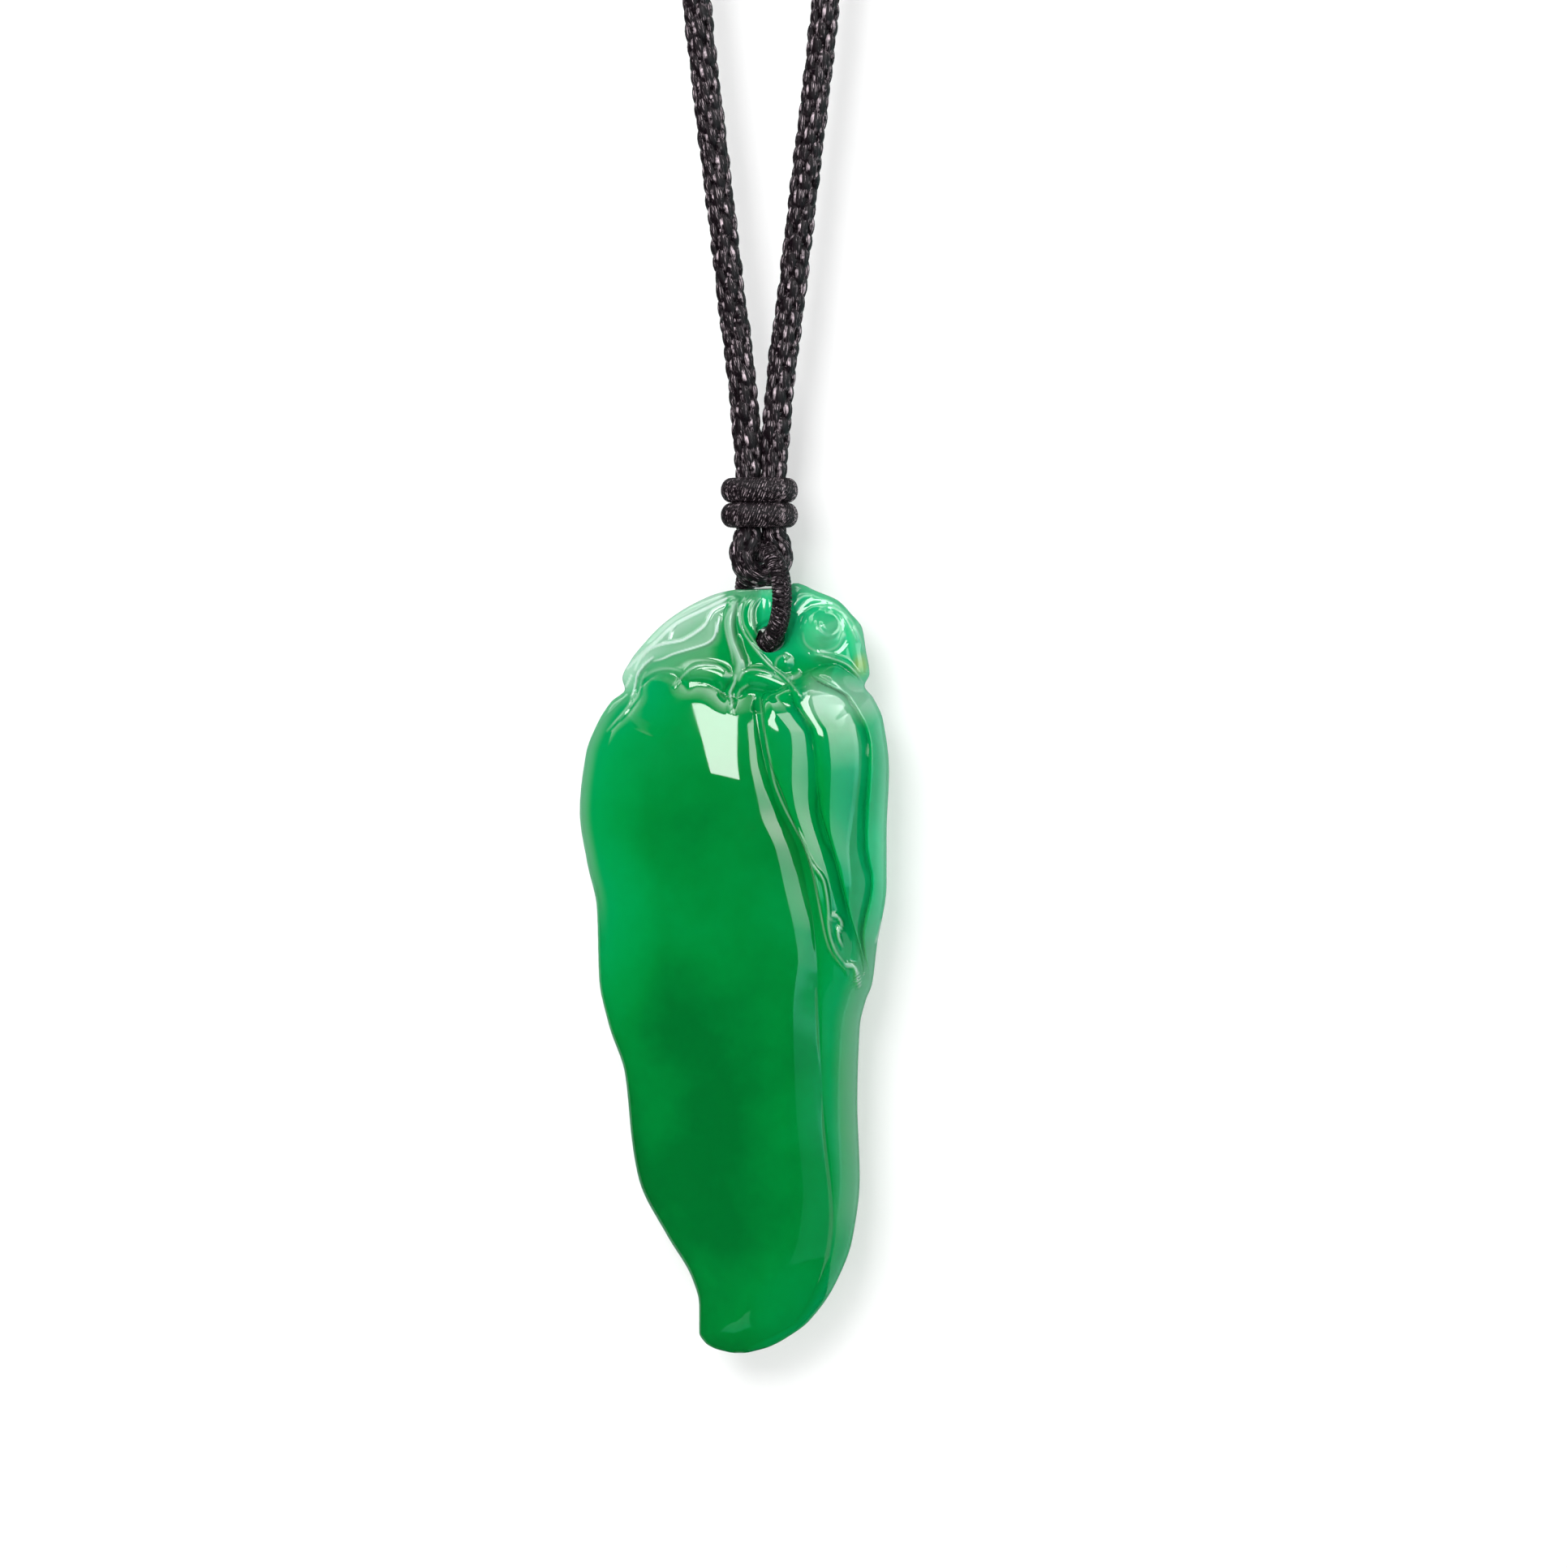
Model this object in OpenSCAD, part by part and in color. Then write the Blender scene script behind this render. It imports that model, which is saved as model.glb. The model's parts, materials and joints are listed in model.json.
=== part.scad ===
// Jade pendant on a doubled braided cord, held as it hangs round a neck.
// The stone hangs by a whipped ring from the fold of the cord. The two strands of the
// cord are bound by two whipped wraps, open into a narrow V and go round the neck.
// Millimetres, +X to the wearer's left as seen from the front, the front faces -Y, +Z up.
// The origin is the place at the nape where the cord rests.
// The stone, the ring and the fold are drawn from the middle of the stone's hole.

/* [Pendant stone] */
// Height of the front's main forms over the middle plane
front_h = 5.0; // [4.2:0.1:5.6]
// Height of the back over the middle plane
back_h = 3.5; // [2.6:0.1:4.2]
// Width over which the front rounds off to its rim
rim_w = 4.6; // [3.6:0.1:6]
// Width over which the back rounds off to its rim
back_rim_w = 7.5; // [5:0.1:9]
// Diameter of the hole that the ring passes through
bore_d = 2.55; // [2.5:0.05:2.6]

/* [Whipped ring] */
// Thickness of the ring
ring_wire_d = 1.7; // [1.5:0.05:1.7]
// Radius of the ring, to the middle of its thickness
ring_r = 3.7; // [3.65:0.05:3.75]
// Width of the ring where the fold of the cord grips it
ring_grip_w = 1.25; // [1.1:0.05:1.3]
// Turn of the ring and the fold about the vertical
ring_turn = 25; // [20:1:28]

/* [Cord] */
// Height of the cord at the nape over the stone's hole
drop = 252; // [240:1:270]
// Distance from the nape forward to the stone's middle plane
reach = 118; // [108:2:124]

/* [Wraps and binding] */
// Width of a wrap round the two strands
wrap_w = 6.35; // [6.3:0.05:6.6]
// Height of one wrap
wrap_h = 1.9; // [1.6:0.05:1.95]
// Heights of the two wraps over the stone's hole
upper_wrap_z = 12.25; // [12.2:0.05:12.5]
lower_wrap_z = 10.2; // [10.15:0.05:10.25]
// Length of the plain binding that joins the cord's ends at the nape
binding_l = 12; // [9:0.5:14]
// Outer diameter of the binding
binding_d = 4.6; // [4.2:0.1:5.2]

/* [Hidden] */
$fn = 48;

jade_green = [0.02, 0.45, 0.16];
cord_black = [0.06, 0.05, 0.06];
thread_black = [0.10, 0.09, 0.10];

// Middle of the cord above the place where it rests at the nape
nape_lift = binding_d / 2;
// Rise of the hole's middle over the ring's lowest middle point
bore_rise = 0.27;
// Where the ring stands to the side of the strands' middle line
ring_x = 0.15;
ring_z = ring_r - bore_rise;

// Left and right rims of the stone. Columns: height z, side x
RIM_LEFT = [
    [4.7, 2.3], [4.35, 1.9], [4.1, 0.9], [3.95, -2.2], [3.3, -4.8], [1.4, -7.9],
    [-0.3, -9.6], [-1.7, -10.7], [-3.2, -11.4], [-4.1, -11.2], [-5.1, -12.3],
    [-6.8, -13.4], [-9.4, -14.4], [-14.1, -14.9], [-18.3, -14.3], [-22, -13.5],
    [-27.9, -13.3], [-31.7, -12.5], [-35.6, -11.2], [-41.3, -10.6], [-44.5, -10],
    [-49, -7.7], [-52.4, -5.7], [-54.6, -5.1], [-56.9, -5.1], [-58.2, -4.1], [-58.7, -1.9]
];
RIM_RIGHT = [
    [4.7, 2.5], [4.1, 4.1], [3.2, 6.3], [2.2, 7.3], [0.9, 8.3], [-0.9, 8.6], [-2.8, 8.9],
    [-3.8, 8.5], [-4.8, 9.2], [-6.6, 10], [-10.8, 10.5], [-16, 10.3], [-20, 10.3],
    [-25.2, 9.5], [-28.3, 9.1], [-29.6, 8.6], [-31.8, 8.1], [-38, 7.9], [-44.2, 8.1],
    [-49.2, 7.5], [-52.9, 6.1], [-56, 3.9], [-57.9, 1.3], [-58.7, -1.7]
];

// Valleys that part the carved forms. Columns: height z, side x
VALLEY_POD = [
    [-5, -0.6], [-8.9, 0], [-13.8, 1.3], [-17, 2.9], [-20, 3.6], [-24, 4.3],
    [-33, 4.7], [-40.6, 5.2], [-47, 5.8], [-50, 5.5], [-53, 4.5], [-56, 2.7], [-58.7, -1.8]
];
VALLEY_BEAN = [
    [-3, 0], [-8.4, 0.3], [-13.3, 1.9], [-18.3, 3.9], [-21.5, 4.7], [-25, 5.5], [-27.5, 6.9],
    [-28.6, 8.8]
];
VALLEY_INNER = [
    [-2.8, 2.2], [-5.1, 2.6], [-7.7, 4.1], [-13.5, 4.7], [-17.7, 5.9], [-22.2, 7.1], [-27, 8.4]
];
VALLEY_OUTER = [
    [-2.8, 4], [-4.8, 7.1], [-8.9, 8.8], [-16.5, 8.5], [-20, 9], [-24.3, 8.3], [-28.3, 8.8]
];

// How far each carved form rises. Columns: height z, share of the front's height
POD_RISE = [[-3, 0.4], [-5, 0.74], [-8, 0.92], [-20, 1], [-40, 0.97], [-50, 0.9], [-58.7, 0.74]];
STRIP_RISE = [[-19, 0.5], [-25, 0.68], [-38, 0.72], [-49, 0.72], [-54, 0.86], [-58.7, 0.74]];
BEAN_RISE = [
    [-2.8, 0.35], [-4.4, 0.76], [-6.5, 0.95], [-11, 1.06], [-18, 1.04], [-24, 0.86], [-28.4, 0.6]
];
TOP_RISE = [[4.7, 0.29], [-1, 0.3], [-4, 0.52], [-7, 0.66], [-9, 0.5]];
// Heights at which the forms start, and at which the small pod ends
pod_top = -3;
strip_top = -19;
bean_top = -2.8;
bean_tip = -28.4;
// How far past the rims the pod's and the strip's own crests reach
left_over = 2;
right_over = 1.5;
// Share of its rise that each form loses from its middle to its valleys
POD_FALL = 0.45;
STRIP_FALL = 0.34;
LOBE_FALL = 0.22;
// Heights between which the long valley fades out towards the tip
fade_high = -48.5;
fade_low = -53.5;
// Growth of the stone's thickness for each millimetre to the right, front and back:
// it brings the stone's weight under its hole
FRONT_LEAN = 0.015;
BACK_LEAN = 0.045;
// Height of the back at the stone's top, and its growth for each millimetre down from grow_z
back_top_h = 1.4;
back_grow = 0.5;
grow_z = -2.4;

// Round buds of the carving. Columns: side x, height z, radius, rise over the ground
BUDS = [
    [4.8, 1.1, 2.6, 2.1], [2.1, -2.1, 1.2, 0.9], [-5.7, 0.7, 3.4, 1.1], [-8.7, -2.5, 2.6, 1.2]
];
// Ribs of the carving. Columns: start x, start z, end x, end z, width, rise
RIBS = [
    [-2.4, 3, -2.3, -4, 1.4, 1], [-3.4, 2.6, -9.6, -1, 1.2, 0.5],
    [3.6, 3.6, 7.2, 1.6, 1, 0.6], [7.6, 0.8, 8, -2.6, 1, 0.7]
];
// Height down to which the buds and ribs reach
buds_to = -6;

// Heights of the stone's rows of points, and the number of columns on each side
ROW_Z = concat([4.7, 4.45, 4.22, 4.05, 3.9, 3.6], [for (z = [3.1:-0.6:-9.5]) z],
               [for (z = [-10.3:-0.85:-56.5]) z], [-57.2, -57.8, -58.3, -58.6]);
SPAN_COLUMNS = [12, 2, 5, 5, 4];
BACK_COLUMNS = 12;
// Where the valleys stand on the rows that they don't reach, as shares of the row
SPAN_SHARE = [0, 0.56, 0.62, 0.74, 0.88, 1];
// Heights at which the columns come to the valleys and leave those of the small pod again,
// and the lengths over which they do
come_z = -3;
come_l = 3;
leave_z = -27;
leave_l = 2;

// Route of one strand from the fold's lowest point up to the nape, in the fold's own turn.
// Columns: side x, depth y, height z, width of the cord, depth of the cord
fold_r = 1.79;
fold_z = 6.96;
FOLD = [for (a = [0:22.5:90]) [fold_r * sin(a), 0, fold_z - fold_r * cos(a), 1.9, 2.5]];
STRAND = concat(FOLD, [
    [1.79, 0, 7.6, 1.9, 2.5], [1.58, 0, 8.2, 1.9, 2.5], [1.15, 0, 8.75, 1.95, 2.45],
    [1.03, 0, 9.15, 1.9, 2.4], [1.02, 0, 10.7, 1.9, 2.4], [1.02, 0, 12.3, 1.9, 2.4],
    [1.03, 0, 13.3, 1.9, 2.4], [1.18, 0, 16.2, 2.2, 2.4], [1.7, 0, 22, 2.4, 2.4],
    [2.45, 0, 28, 2.4, 2.4], [3.5, 0, 37, 2.4, 2.4], [4.6, 0, 46, 2.4, 2.4],
    [5.8, 0, 57, 2.4, 2.4], [7.2, 0, 69, 2.4, 2.4], [9, 0, 81, 2.4, 2.4],
    [11.4, 0, 93, 2.4, 2.4], [14.6, 0, 105, 2.4, 2.4], [18.6, 0.2, 117, 2.4, 2.4],
    [23.4, 0.6, 128.5, 2.4, 2.4], [28.8, 1.4, 140, 2.4, 2.4], [34.6, 2.8, 151, 2.4, 2.4],
    [40.4, 5, 162, 2.4, 2.4], [46, 8.5, 172.5, 2.4, 2.4], [51.2, 13.5, 183, 2.4, 2.4],
    [55.6, 20, 193.5, 2.4, 2.4], [59, 28.5, 203.5, 2.4, 2.4], [61.4, 38.5, 212.5, 2.4, 2.4],
    [62.4, 50, 221, 2.4, 2.4], [61.8, 62, 229, 2.4, 2.4], [59.2, 74, 236, 2.4, 2.4],
    [54.4, 85.5, 242, 2.4, 2.4], [47.2, 96, 246.5, 2.4, 2.4], [38, 105, 249.6, 2.4, 2.4],
    [27.4, 112, 251.3, 2.4, 2.4], [16.4, 116.6, 251.9, 2.4, 2.4], [6.5, 118, 252, 2.4, 2.4],
    [0.6, 118, 252, 2.4, 2.4]
]);
CORD_SIDES = 8;
// Heights between which the strands turn back from the fold's own turn
turn_low = 8;
turn_high = 9.1;
// Height up to which the cord keeps its flat side to the front
flat_to = 24;
// Drop and reach for which the route is drawn, and the heights between which it stretches
// to another drop
route_drop = 252;
route_reach = 118;
stretch_from = 60;
stretch_l = 190;

// Value of a two-column table at height z: a smooth curve that never overshoots its rows
function row_at(t, z, i = 1) = i >= len(t) - 1 || z >= t[i][0] ? i : row_at(t, z, i + 1);
function rate(t, i) = (t[i + 1][1] - t[i][1]) / (t[i + 1][0] - t[i][0]);
function slope(t, i) = i <= 0 || i >= len(t) - 1 ? 0
    : let (a = rate(t, i - 1), b = rate(t, i)) a * b <= 0 ? 0 : 2 * a * b / (a + b);
function clamp(v) = max(0, min(1, v));
function ease(v) = let (u = clamp(v)) u * u * (3 - 2 * u);
function table(t, z) =
    let (i = row_at(t, z), a = t[i - 1], b = t[i], h = b[0] - a[0], u = clamp((z - a[0]) / h))
    a[1] + (b[1] - a[1]) * ease(u)
    + h * (slope(t, i - 1) * u * pow(1 - u, 2) - slope(t, i) * u * u * (1 - u));

// Round crest between two valleys, from 0 at a valley to 1 in the middle
function crest(x, left, right) =
    let (u = (2 * x - left - right) / (right - left)) abs(u) < 1 ? sqrt(1 - u * u) : 0;
// Distance from a point to a straight stretch
function stretch_gap(p, a, b) =
    let (d = b - a, u = clamp((p - a) * d / max(0.0001, d * d))) norm(p - a - u * d);
// Bump of a given width, from 1 at its middle to 0 at its foot
function bump(gap, width) = gap < width ? pow(1 - pow(gap / width, 2), 2) : 0;

// A point this close to a valley counts as on both of its sides
EDGE = 0.001;
// A form's height from its rise, what it loses at its valleys and its crest
function form(rise, fall, c) = rise * (1 - fall * (1 - c));
// Ground of the front at side x and height z, as a share of front_h
function ground(x, z) =
    let (pod = table(VALLEY_POD, z), bean = table(VALLEY_BEAN, z),
         inner = table(VALLEY_INNER, z), outer = table(VALLEY_OUTER, z),
         left = table(RIM_LEFT, z) - left_over, right = table(RIM_RIGHT, z) + right_over,
         open = ease((z - fade_low) / (fade_high - fade_low)),
         pod_h = z < pod_top && x < pod + EDGE
             ? form(table(POD_RISE, z), POD_FALL * open, crest(x, left, pod)) : 0,
         strip_h = z < strip_top && x > pod - EDGE
             ? form(table(STRIP_RISE, z), STRIP_FALL * open, crest(x, pod, right)) : 0,
         lobe = x < inner ? crest(x, bean, inner)
             : x < outer ? crest(x, inner, outer) : crest(x, outer, right),
         bean_h = z > bean_tip && z < bean_top && x > bean - EDGE
             ? form(table(BEAN_RISE, z), LOBE_FALL, lobe) : 0)
    max(table(TOP_RISE, z), pod_h, strip_h, bean_h);
// Height of the front, with its buds and ribs, before the rim rounds it off
function front_height(x, z) =
    front_h * (1 + FRONT_LEAN * x) * ground(x, z)
    + (z < buds_to ? 0
        : max([for (b = BUDS) b[3] * bump(norm([x - b[0], z - b[1]]), b[2])])
        + max([for (r = RIBS) r[5] * bump(stretch_gap([x, z], [r[0], r[1]], [r[2], r[3]]), r[4])]));
function back_height(x, z) =
    min(back_h, back_top_h + max(0, grow_z - z) * back_grow) * (1 + BACK_LEAN * x);
// Rounding towards the rim: 0 on the rim, 1 from the rim's width inward
function rounding(gap, width) = let (u = clamp(gap / width)) sqrt(u * (2 - u));
// Least distance from a point to the rim, which is taken as straight between rows
RIM = [for (z = ROW_Z) [table(RIM_LEFT, z), table(RIM_RIGHT, z)]];
function rim_gap(x, z, i) =
    min([for (k = [max(0, i - 6):min(len(ROW_Z) - 2, i + 6)], s = [0, 1])
        stretch_gap([x, z], [RIM[k][s], ROW_Z[k]], [RIM[k + 1][s], ROW_Z[k + 1]])]);
// Where row i's columns bunch: its two rims and, between them, the four valleys
function bounds(i) =
    let (z = ROW_Z[i], l = RIM[i][0], r = RIM[i][1],
         held = ease((come_z - z) / come_l),
         pod = table(VALLEY_POD, z),
         reached = z > leave_z ? 0 : ease((leave_z - z) / leave_l),
         even = [for (k = [1:3]) pod + (r - pod) * k / 4],
         valleys = [table(VALLEY_BEAN, z), table(VALLEY_INNER, z), table(VALLEY_OUTER, z)],
         near = concat([l, pod], valleys * (1 - reached) + even * reached, [r]))
    [for (k = [0:5]) near[k] * held + (l + (r - l) * SPAN_SHARE[k]) * (1 - held)];
// Columns of row i from left to right, closer together at both rims
function columns(i) =
    let (b = bounds(i))
    concat([b[0]], [for (k = [0:4], j = [1:SPAN_COLUMNS[k]])
        let (u = j / SPAN_COLUMNS[k])
        b[k] + (b[k + 1] - b[k]) * (k == 0 ? 1 - cos(90 * u) : k == 4 ? sin(90 * u) : u)]);
// One row of the stone: the front from left to right, then the back from right to left
function stone_row(i) =
    let (z = ROW_Z[i], mid = (RIM[i][0] + RIM[i][1]) / 2, half = (RIM[i][1] - RIM[i][0]) / 2)
    concat(
        [for (x = columns(i)) [x, -front_height(x, z) * rounding(rim_gap(x, z, i), rim_w), z]],
        [for (j = [1:BACK_COLUMNS - 1])
            let (x = mid + half * cos(180 * j / BACK_COLUMNS))
            [x, back_height(x, z) * rounding(rim_gap(x, z, i), back_rim_w), z]]);

// Closed skin over rows of points that go round, with a flat face on the first and last row
module skin(rows) {
    n = len(rows[0]);
    last = len(rows) - 1;
    polyhedron(
        points = [for (row = rows) each row],
        faces = concat(
            [[for (j = [n - 1:-1:0]) j]],
            [for (i = [0:last - 1], j = [0:n - 1], k = [0, 1])
                let (a = i * n + j, b = i * n + (j + 1) % n)
                k == 0 ? [a, b, a + n] : [b, b + n, a + n]],
            [[for (j = [0:n - 1]) last * n + j]]),
        convexity = 10);
}

// Turn of the strands about the vertical at height z
function turn_at(z) = ring_turn * (1 - ease((z - turn_low) / (turn_high - turn_low)));
// Point k of a strand on one side, turned with the fold and fitted to the nape's place
function strand_point(k, side) =
    let (p = STRAND[k], a = turn_at(p[2]), x = side * p[0])
    [x * cos(a) - p[1] * sin(a), x * sin(a) + p[1] * cos(a) * reach / route_reach,
     p[2] + (drop - route_drop) * ease((p[2] - stretch_from) / stretch_l)];
LAST = len(STRAND) - 1;
ROUTE = concat([for (k = [LAST:-1:1]) strand_point(k, -1)], [for (k = [0:LAST]) strand_point(k, 1)]);
function unit(v) = v / norm(v);
function heading(i) = unit(ROUTE[min(i + 1, 2 * LAST)] - ROUTE[max(i - 1, 0)]);
function square_to(n, t) = unit(n - (n * t) * t);
// Depth direction of the cord: front to back at the fold and in the V, and from there
// carried without twist to either end
function across(i, step) =
    let (z = STRAND[abs(i - LAST)][2], a = turn_at(z))
    square_to(z < flat_to ? [-sin(a), cos(a), 0] : across(i - step, step), heading(i));
function cord_ring(i) =
    let (n = across(i, i < LAST ? -1 : 1), b = cross(heading(i), n), size = STRAND[abs(i - LAST)])
    [for (k = [0:CORD_SIDES - 1])
        let (a = 360 * (k + 0.5) / CORD_SIDES)
        ROUTE[i] + n * size[4] / 2 * cos(a) + b * size[3] / 2 * sin(a)];

// Puts what is drawn from the hole's middle at its place below the nape
module at_hole() {
    translate([0, -reach, nape_lift - drop]) children();
}

module jade_pendant() {
    bore_l = 16;
    color(jade_green)
    at_hole()
    difference() {
        skin([for (i = [0:len(ROW_Z) - 1]) stone_row(i)]);
        translate([ring_x, 0, 0]) rotate([0, 0, ring_turn]) rotate([90, 0, 0])
            cylinder(d = bore_d, h = bore_l, center = true);
    }
}

// Ring of thread whipped over a core, pressed flat where the fold grips it
module hanging_ring() {
    flat_l = 3.6;
    cut_w = 2;
    color(thread_black)
    at_hole()
    translate([ring_x, 0, ring_z]) rotate([0, 0, ring_turn])
    difference() {
        rotate([0, 90, 0]) rotate_extrude() translate([ring_r, 0]) circle(d = ring_wire_d);
        for (side = [-1, 1])
            translate([side * (ring_grip_w + cut_w) / 2, 0, ring_r])
                cube([cut_w, flat_l, 2 * ring_wire_d], center = true);
    }
}

// Band with round ends round both strands; its outer face is rounded
module wrap_band(z) {
    inner_r = 1.39;
    thick = 1.1;
    run = wrap_w - 2 * (inner_r + thick);
    color(thread_black)
    at_hole()
    translate([0, 0, z])
    union() {
        for (side = [-1, 1]) {
            translate([side * run / 2, 0, 0]) rotate([0, 0, side * 90 + 180])
                rotate_extrude(angle = 180) translate([inner_r, 0]) wrap_section(thick);
            translate([0, side * inner_r, 0]) rotate([90, 0, 90])
                linear_extrude(run, center = true) scale([side, 1]) wrap_section(thick);
        }
    }
}
module wrap_section(thick) {
    round_d = wrap_h * 1.12;
    intersection() {
        translate([0, -wrap_h / 2]) square([thick, wrap_h]);
        translate([thick - wrap_h / 2, 0]) circle(d = round_d);
    }
}
module upper_wrap() { wrap_band(upper_wrap_z); }
module lower_wrap() { wrap_band(lower_wrap_z); }

// The whole cord: one tube from the nape round the left, through the fold and back
module neck_cord() {
    color(cord_black)
    at_hole()
    skin([for (i = [0:2 * LAST]) cord_ring(i)]);
}

// Plain whipped sleeve over the two ends of the cord
module nape_binding() {
    binding_bore_d = 2.8;
    color(thread_black)
    translate([0, 0, nape_lift]) rotate([0, 90, 0])
    difference() {
        cylinder(d = binding_d, h = binding_l, center = true);
        cylinder(d = binding_bore_d, h = binding_l + 1, center = true);
    }
}

jade_pendant();
hanging_ring();
upper_wrap();
lower_wrap();
neck_cord();
nape_binding();
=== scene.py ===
import json
import math

import bpy
import numpy as np
from mathutils import Matrix, Vector
from mathutils.kdtree import KDTree

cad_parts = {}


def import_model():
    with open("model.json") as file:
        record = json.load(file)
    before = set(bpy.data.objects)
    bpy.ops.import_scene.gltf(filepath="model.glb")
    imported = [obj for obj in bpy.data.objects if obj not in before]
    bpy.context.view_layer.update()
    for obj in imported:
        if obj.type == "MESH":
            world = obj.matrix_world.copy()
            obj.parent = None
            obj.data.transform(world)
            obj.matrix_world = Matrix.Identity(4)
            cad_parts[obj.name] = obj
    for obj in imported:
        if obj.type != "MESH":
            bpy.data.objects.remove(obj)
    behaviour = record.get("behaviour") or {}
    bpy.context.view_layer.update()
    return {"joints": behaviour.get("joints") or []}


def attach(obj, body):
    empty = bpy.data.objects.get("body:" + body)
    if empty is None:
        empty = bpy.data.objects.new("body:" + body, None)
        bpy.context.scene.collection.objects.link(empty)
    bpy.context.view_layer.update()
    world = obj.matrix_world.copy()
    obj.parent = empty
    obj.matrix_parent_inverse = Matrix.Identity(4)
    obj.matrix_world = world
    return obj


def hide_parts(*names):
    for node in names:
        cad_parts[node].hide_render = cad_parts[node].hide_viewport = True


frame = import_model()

# Sizes are in millimetres, and MM turns them into metres. The stone, the ring, the wraps and the
# cord are drawn from the middle of the stone's hole, as in the frame: x right, y back, z up.
MM = 0.001
RING_X = 0.15
HOLE = np.array(frame["joints"][0]["pos_m"]) / MM - (RING_X, 0, 0)
# How far the ring and the cord's fold are turned about the upright, as seen from above
RING_TURN = math.radians(25)

# The photograph's frame: its width and the place of its middle in the stone's plane
IMAGE_W, IMAGE_H = 1931, 1932
FRAME_W = 128.7
FRAME_X = 1.83
FRAME_Z = -11.87

# What the lights are aimed at, from the stone's hole
LIT_MIDDLE = (0, 0, -16)

# The stone is a long pod with a smaller, lobed pod (the bean) at its right, below a leaf and a bud.

# Its outline. Columns: height z, side x
RIM_LEFT = [
    (4.62, 2.6), (4.5, 2.45), (4.35, 2.15), (4.22, 1.7), (4.18, 0.8), (4.15, -0.6), (4.07, -2.3),
    (3.3, -4.8), (1.4, -7.9), (-0.3, -9.6), (-1.7, -10.7), (-3.2, -11.4), (-4.1, -11.2),
    (-5.1, -12.3), (-6.8, -13.4), (-9.4, -14.4), (-14.1, -14.9), (-18.3, -14.3), (-22, -13.5),
    (-27.9, -13.3), (-31.7, -12.5), (-35.6, -11.2), (-41.3, -10.6), (-44.5, -10), (-49, -7.7),
    (-52.4, -5.7), (-54.6, -5.1), (-56.9, -5.1), (-57.7, -4.65), (-58.2, -3.85), (-58.5, -2.7),
    (-58.7, -1.9),
]
RIM_RIGHT = [
    (4.62, 3.1), (4.45, 3.55), (4.1, 4.25), (3.2, 6.3), (2.2, 7.3), (0.9, 8.3), (-0.9, 8.6),
    (-2.8, 8.9), (-3.8, 8.5), (-4.8, 9.2), (-6.6, 10), (-10.8, 10.5), (-16, 10.3), (-20, 10.3),
    (-25.2, 9.5), (-28.3, 9.1), (-29.6, 8.6), (-31.8, 8.1), (-38, 7.9), (-44.2, 8.1), (-49.2, 7.5),
    (-52.9, 6.1), (-56, 3.9), (-57.3, 2.15), (-58.1, 0.6), (-58.5, -0.9), (-58.7, -1.7),
]
# Valleys: right of the pod, left of the bean, and between the bean's lobes. Columns as above
VALLEY_POD = [
    (-5, -0.6), (-8.9, 0), (-13.8, 1.3), (-17, 2.9), (-20, 3.6), (-24, 4.3), (-33, 4.7),
    (-40.6, 5.2), (-47, 5.8), (-50, 5.5), (-53, 4.5), (-56, 2.7), (-58.7, -1.8),
]
VALLEY_BEAN = [
    (-3, 0), (-8.4, 0.3), (-13.3, 1.9), (-18.3, 3.9), (-21.5, 4.7), (-25, 5.5), (-27.5, 6.9),
    (-28.6, 8.8),
]
VALLEY_INNER = [
    (-2.8, 2.2), (-5.1, 2.6), (-7.7, 4.1), (-13.5, 4.7), (-17.7, 5.9), (-22.2, 7.1), (-27, 8.4),
]
VALLEY_OUTER = [
    (-2.8, 4), (-4.8, 7.1), (-8.9, 8.8), (-16.5, 8.5), (-20, 9), (-24.3, 8.3), (-28.3, 8.8),
]
# Points on a valley's line, within this much, belong to the form on its left
VALLEY_EDGE = 0.001
# How far the pod, the bean and the top rise. Columns: height z, share of the front's height
POD_RISE = [(-2, 1), (-28, 1), (-40, 0.98), (-50, 0.9), (-58.7, 0.74)]
BEAN_RISE = [(-1.9, 0.72), (-5, 0.86), (-11, 0.96), (-18, 0.95), (-24, 0.88), (-28.4, 0.76)]
TOP_RISE = [(4.7, 0.29), (-1, 0.3), (-4, 0.34), (-9, 0.4)]
# The pod's shoulder bends down above this height, with this radius in height
SHOULDER_Z = -13
SHOULDER_R = 16
# Upper edges of the pod's shoulders and of the bean's lobes (side x, height z)
POD_TOP = [
    (-14.4, -9), (-13.2, -6.9), (-12.1, -5.7), (-10.9, -4.6), (-9.9, -3.9), (-9.2, -3.3),
    (-8.3, -2.8), (-7.4, -2.8), (-6.6, -3.3), (-5.7, -3.5), (-4.6, -3.6), (-3.6, -4.1),
    (-2.8, -4.7), (-1.9, -4.8), (-0.9, -4.5), (0.2, -4.8),
]
BEAN_TOP = [
    (-0.6, -5.2), (0.3, -4.4), (1.3, -4.2), (2.1, -3.7), (3, -3), (4.2, -2.5), (5.2, -2.1),
    (6.2, -2.1), (7.3, -2.8), (9.4, -4.4),
]
# Widths over which these edges round off
POD_SHOULDER_W = 1.6
BEAN_SHOULDER_W = 2.2
# The share of its rise that the pod loses towards the bean (by height z), and over what width
POD_FALL = [
    (-4, 0.18), (-11, 0.265), (-18, 0.3), (-24, 0.28), (-32, 0.17), (-44, 0.1), (-58.7, 0.05),
]
POD_ROLL = 6
# The pod goes on right of its valley as a strip, lower by this share
STRIP_STEP = 0.015
# Each of the bean's lobes has an edge this wide, as a share of its width, and falls by this share.
# The last one reaches past the rim. All end at this height, over this length.
LOBE_EDGE = 0.1
LOBE_FALL = 0.25
LOBE_PAST_RIM = 1
BEAN_END_Z = -28.6
BEAN_END_L = 0.7
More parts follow.
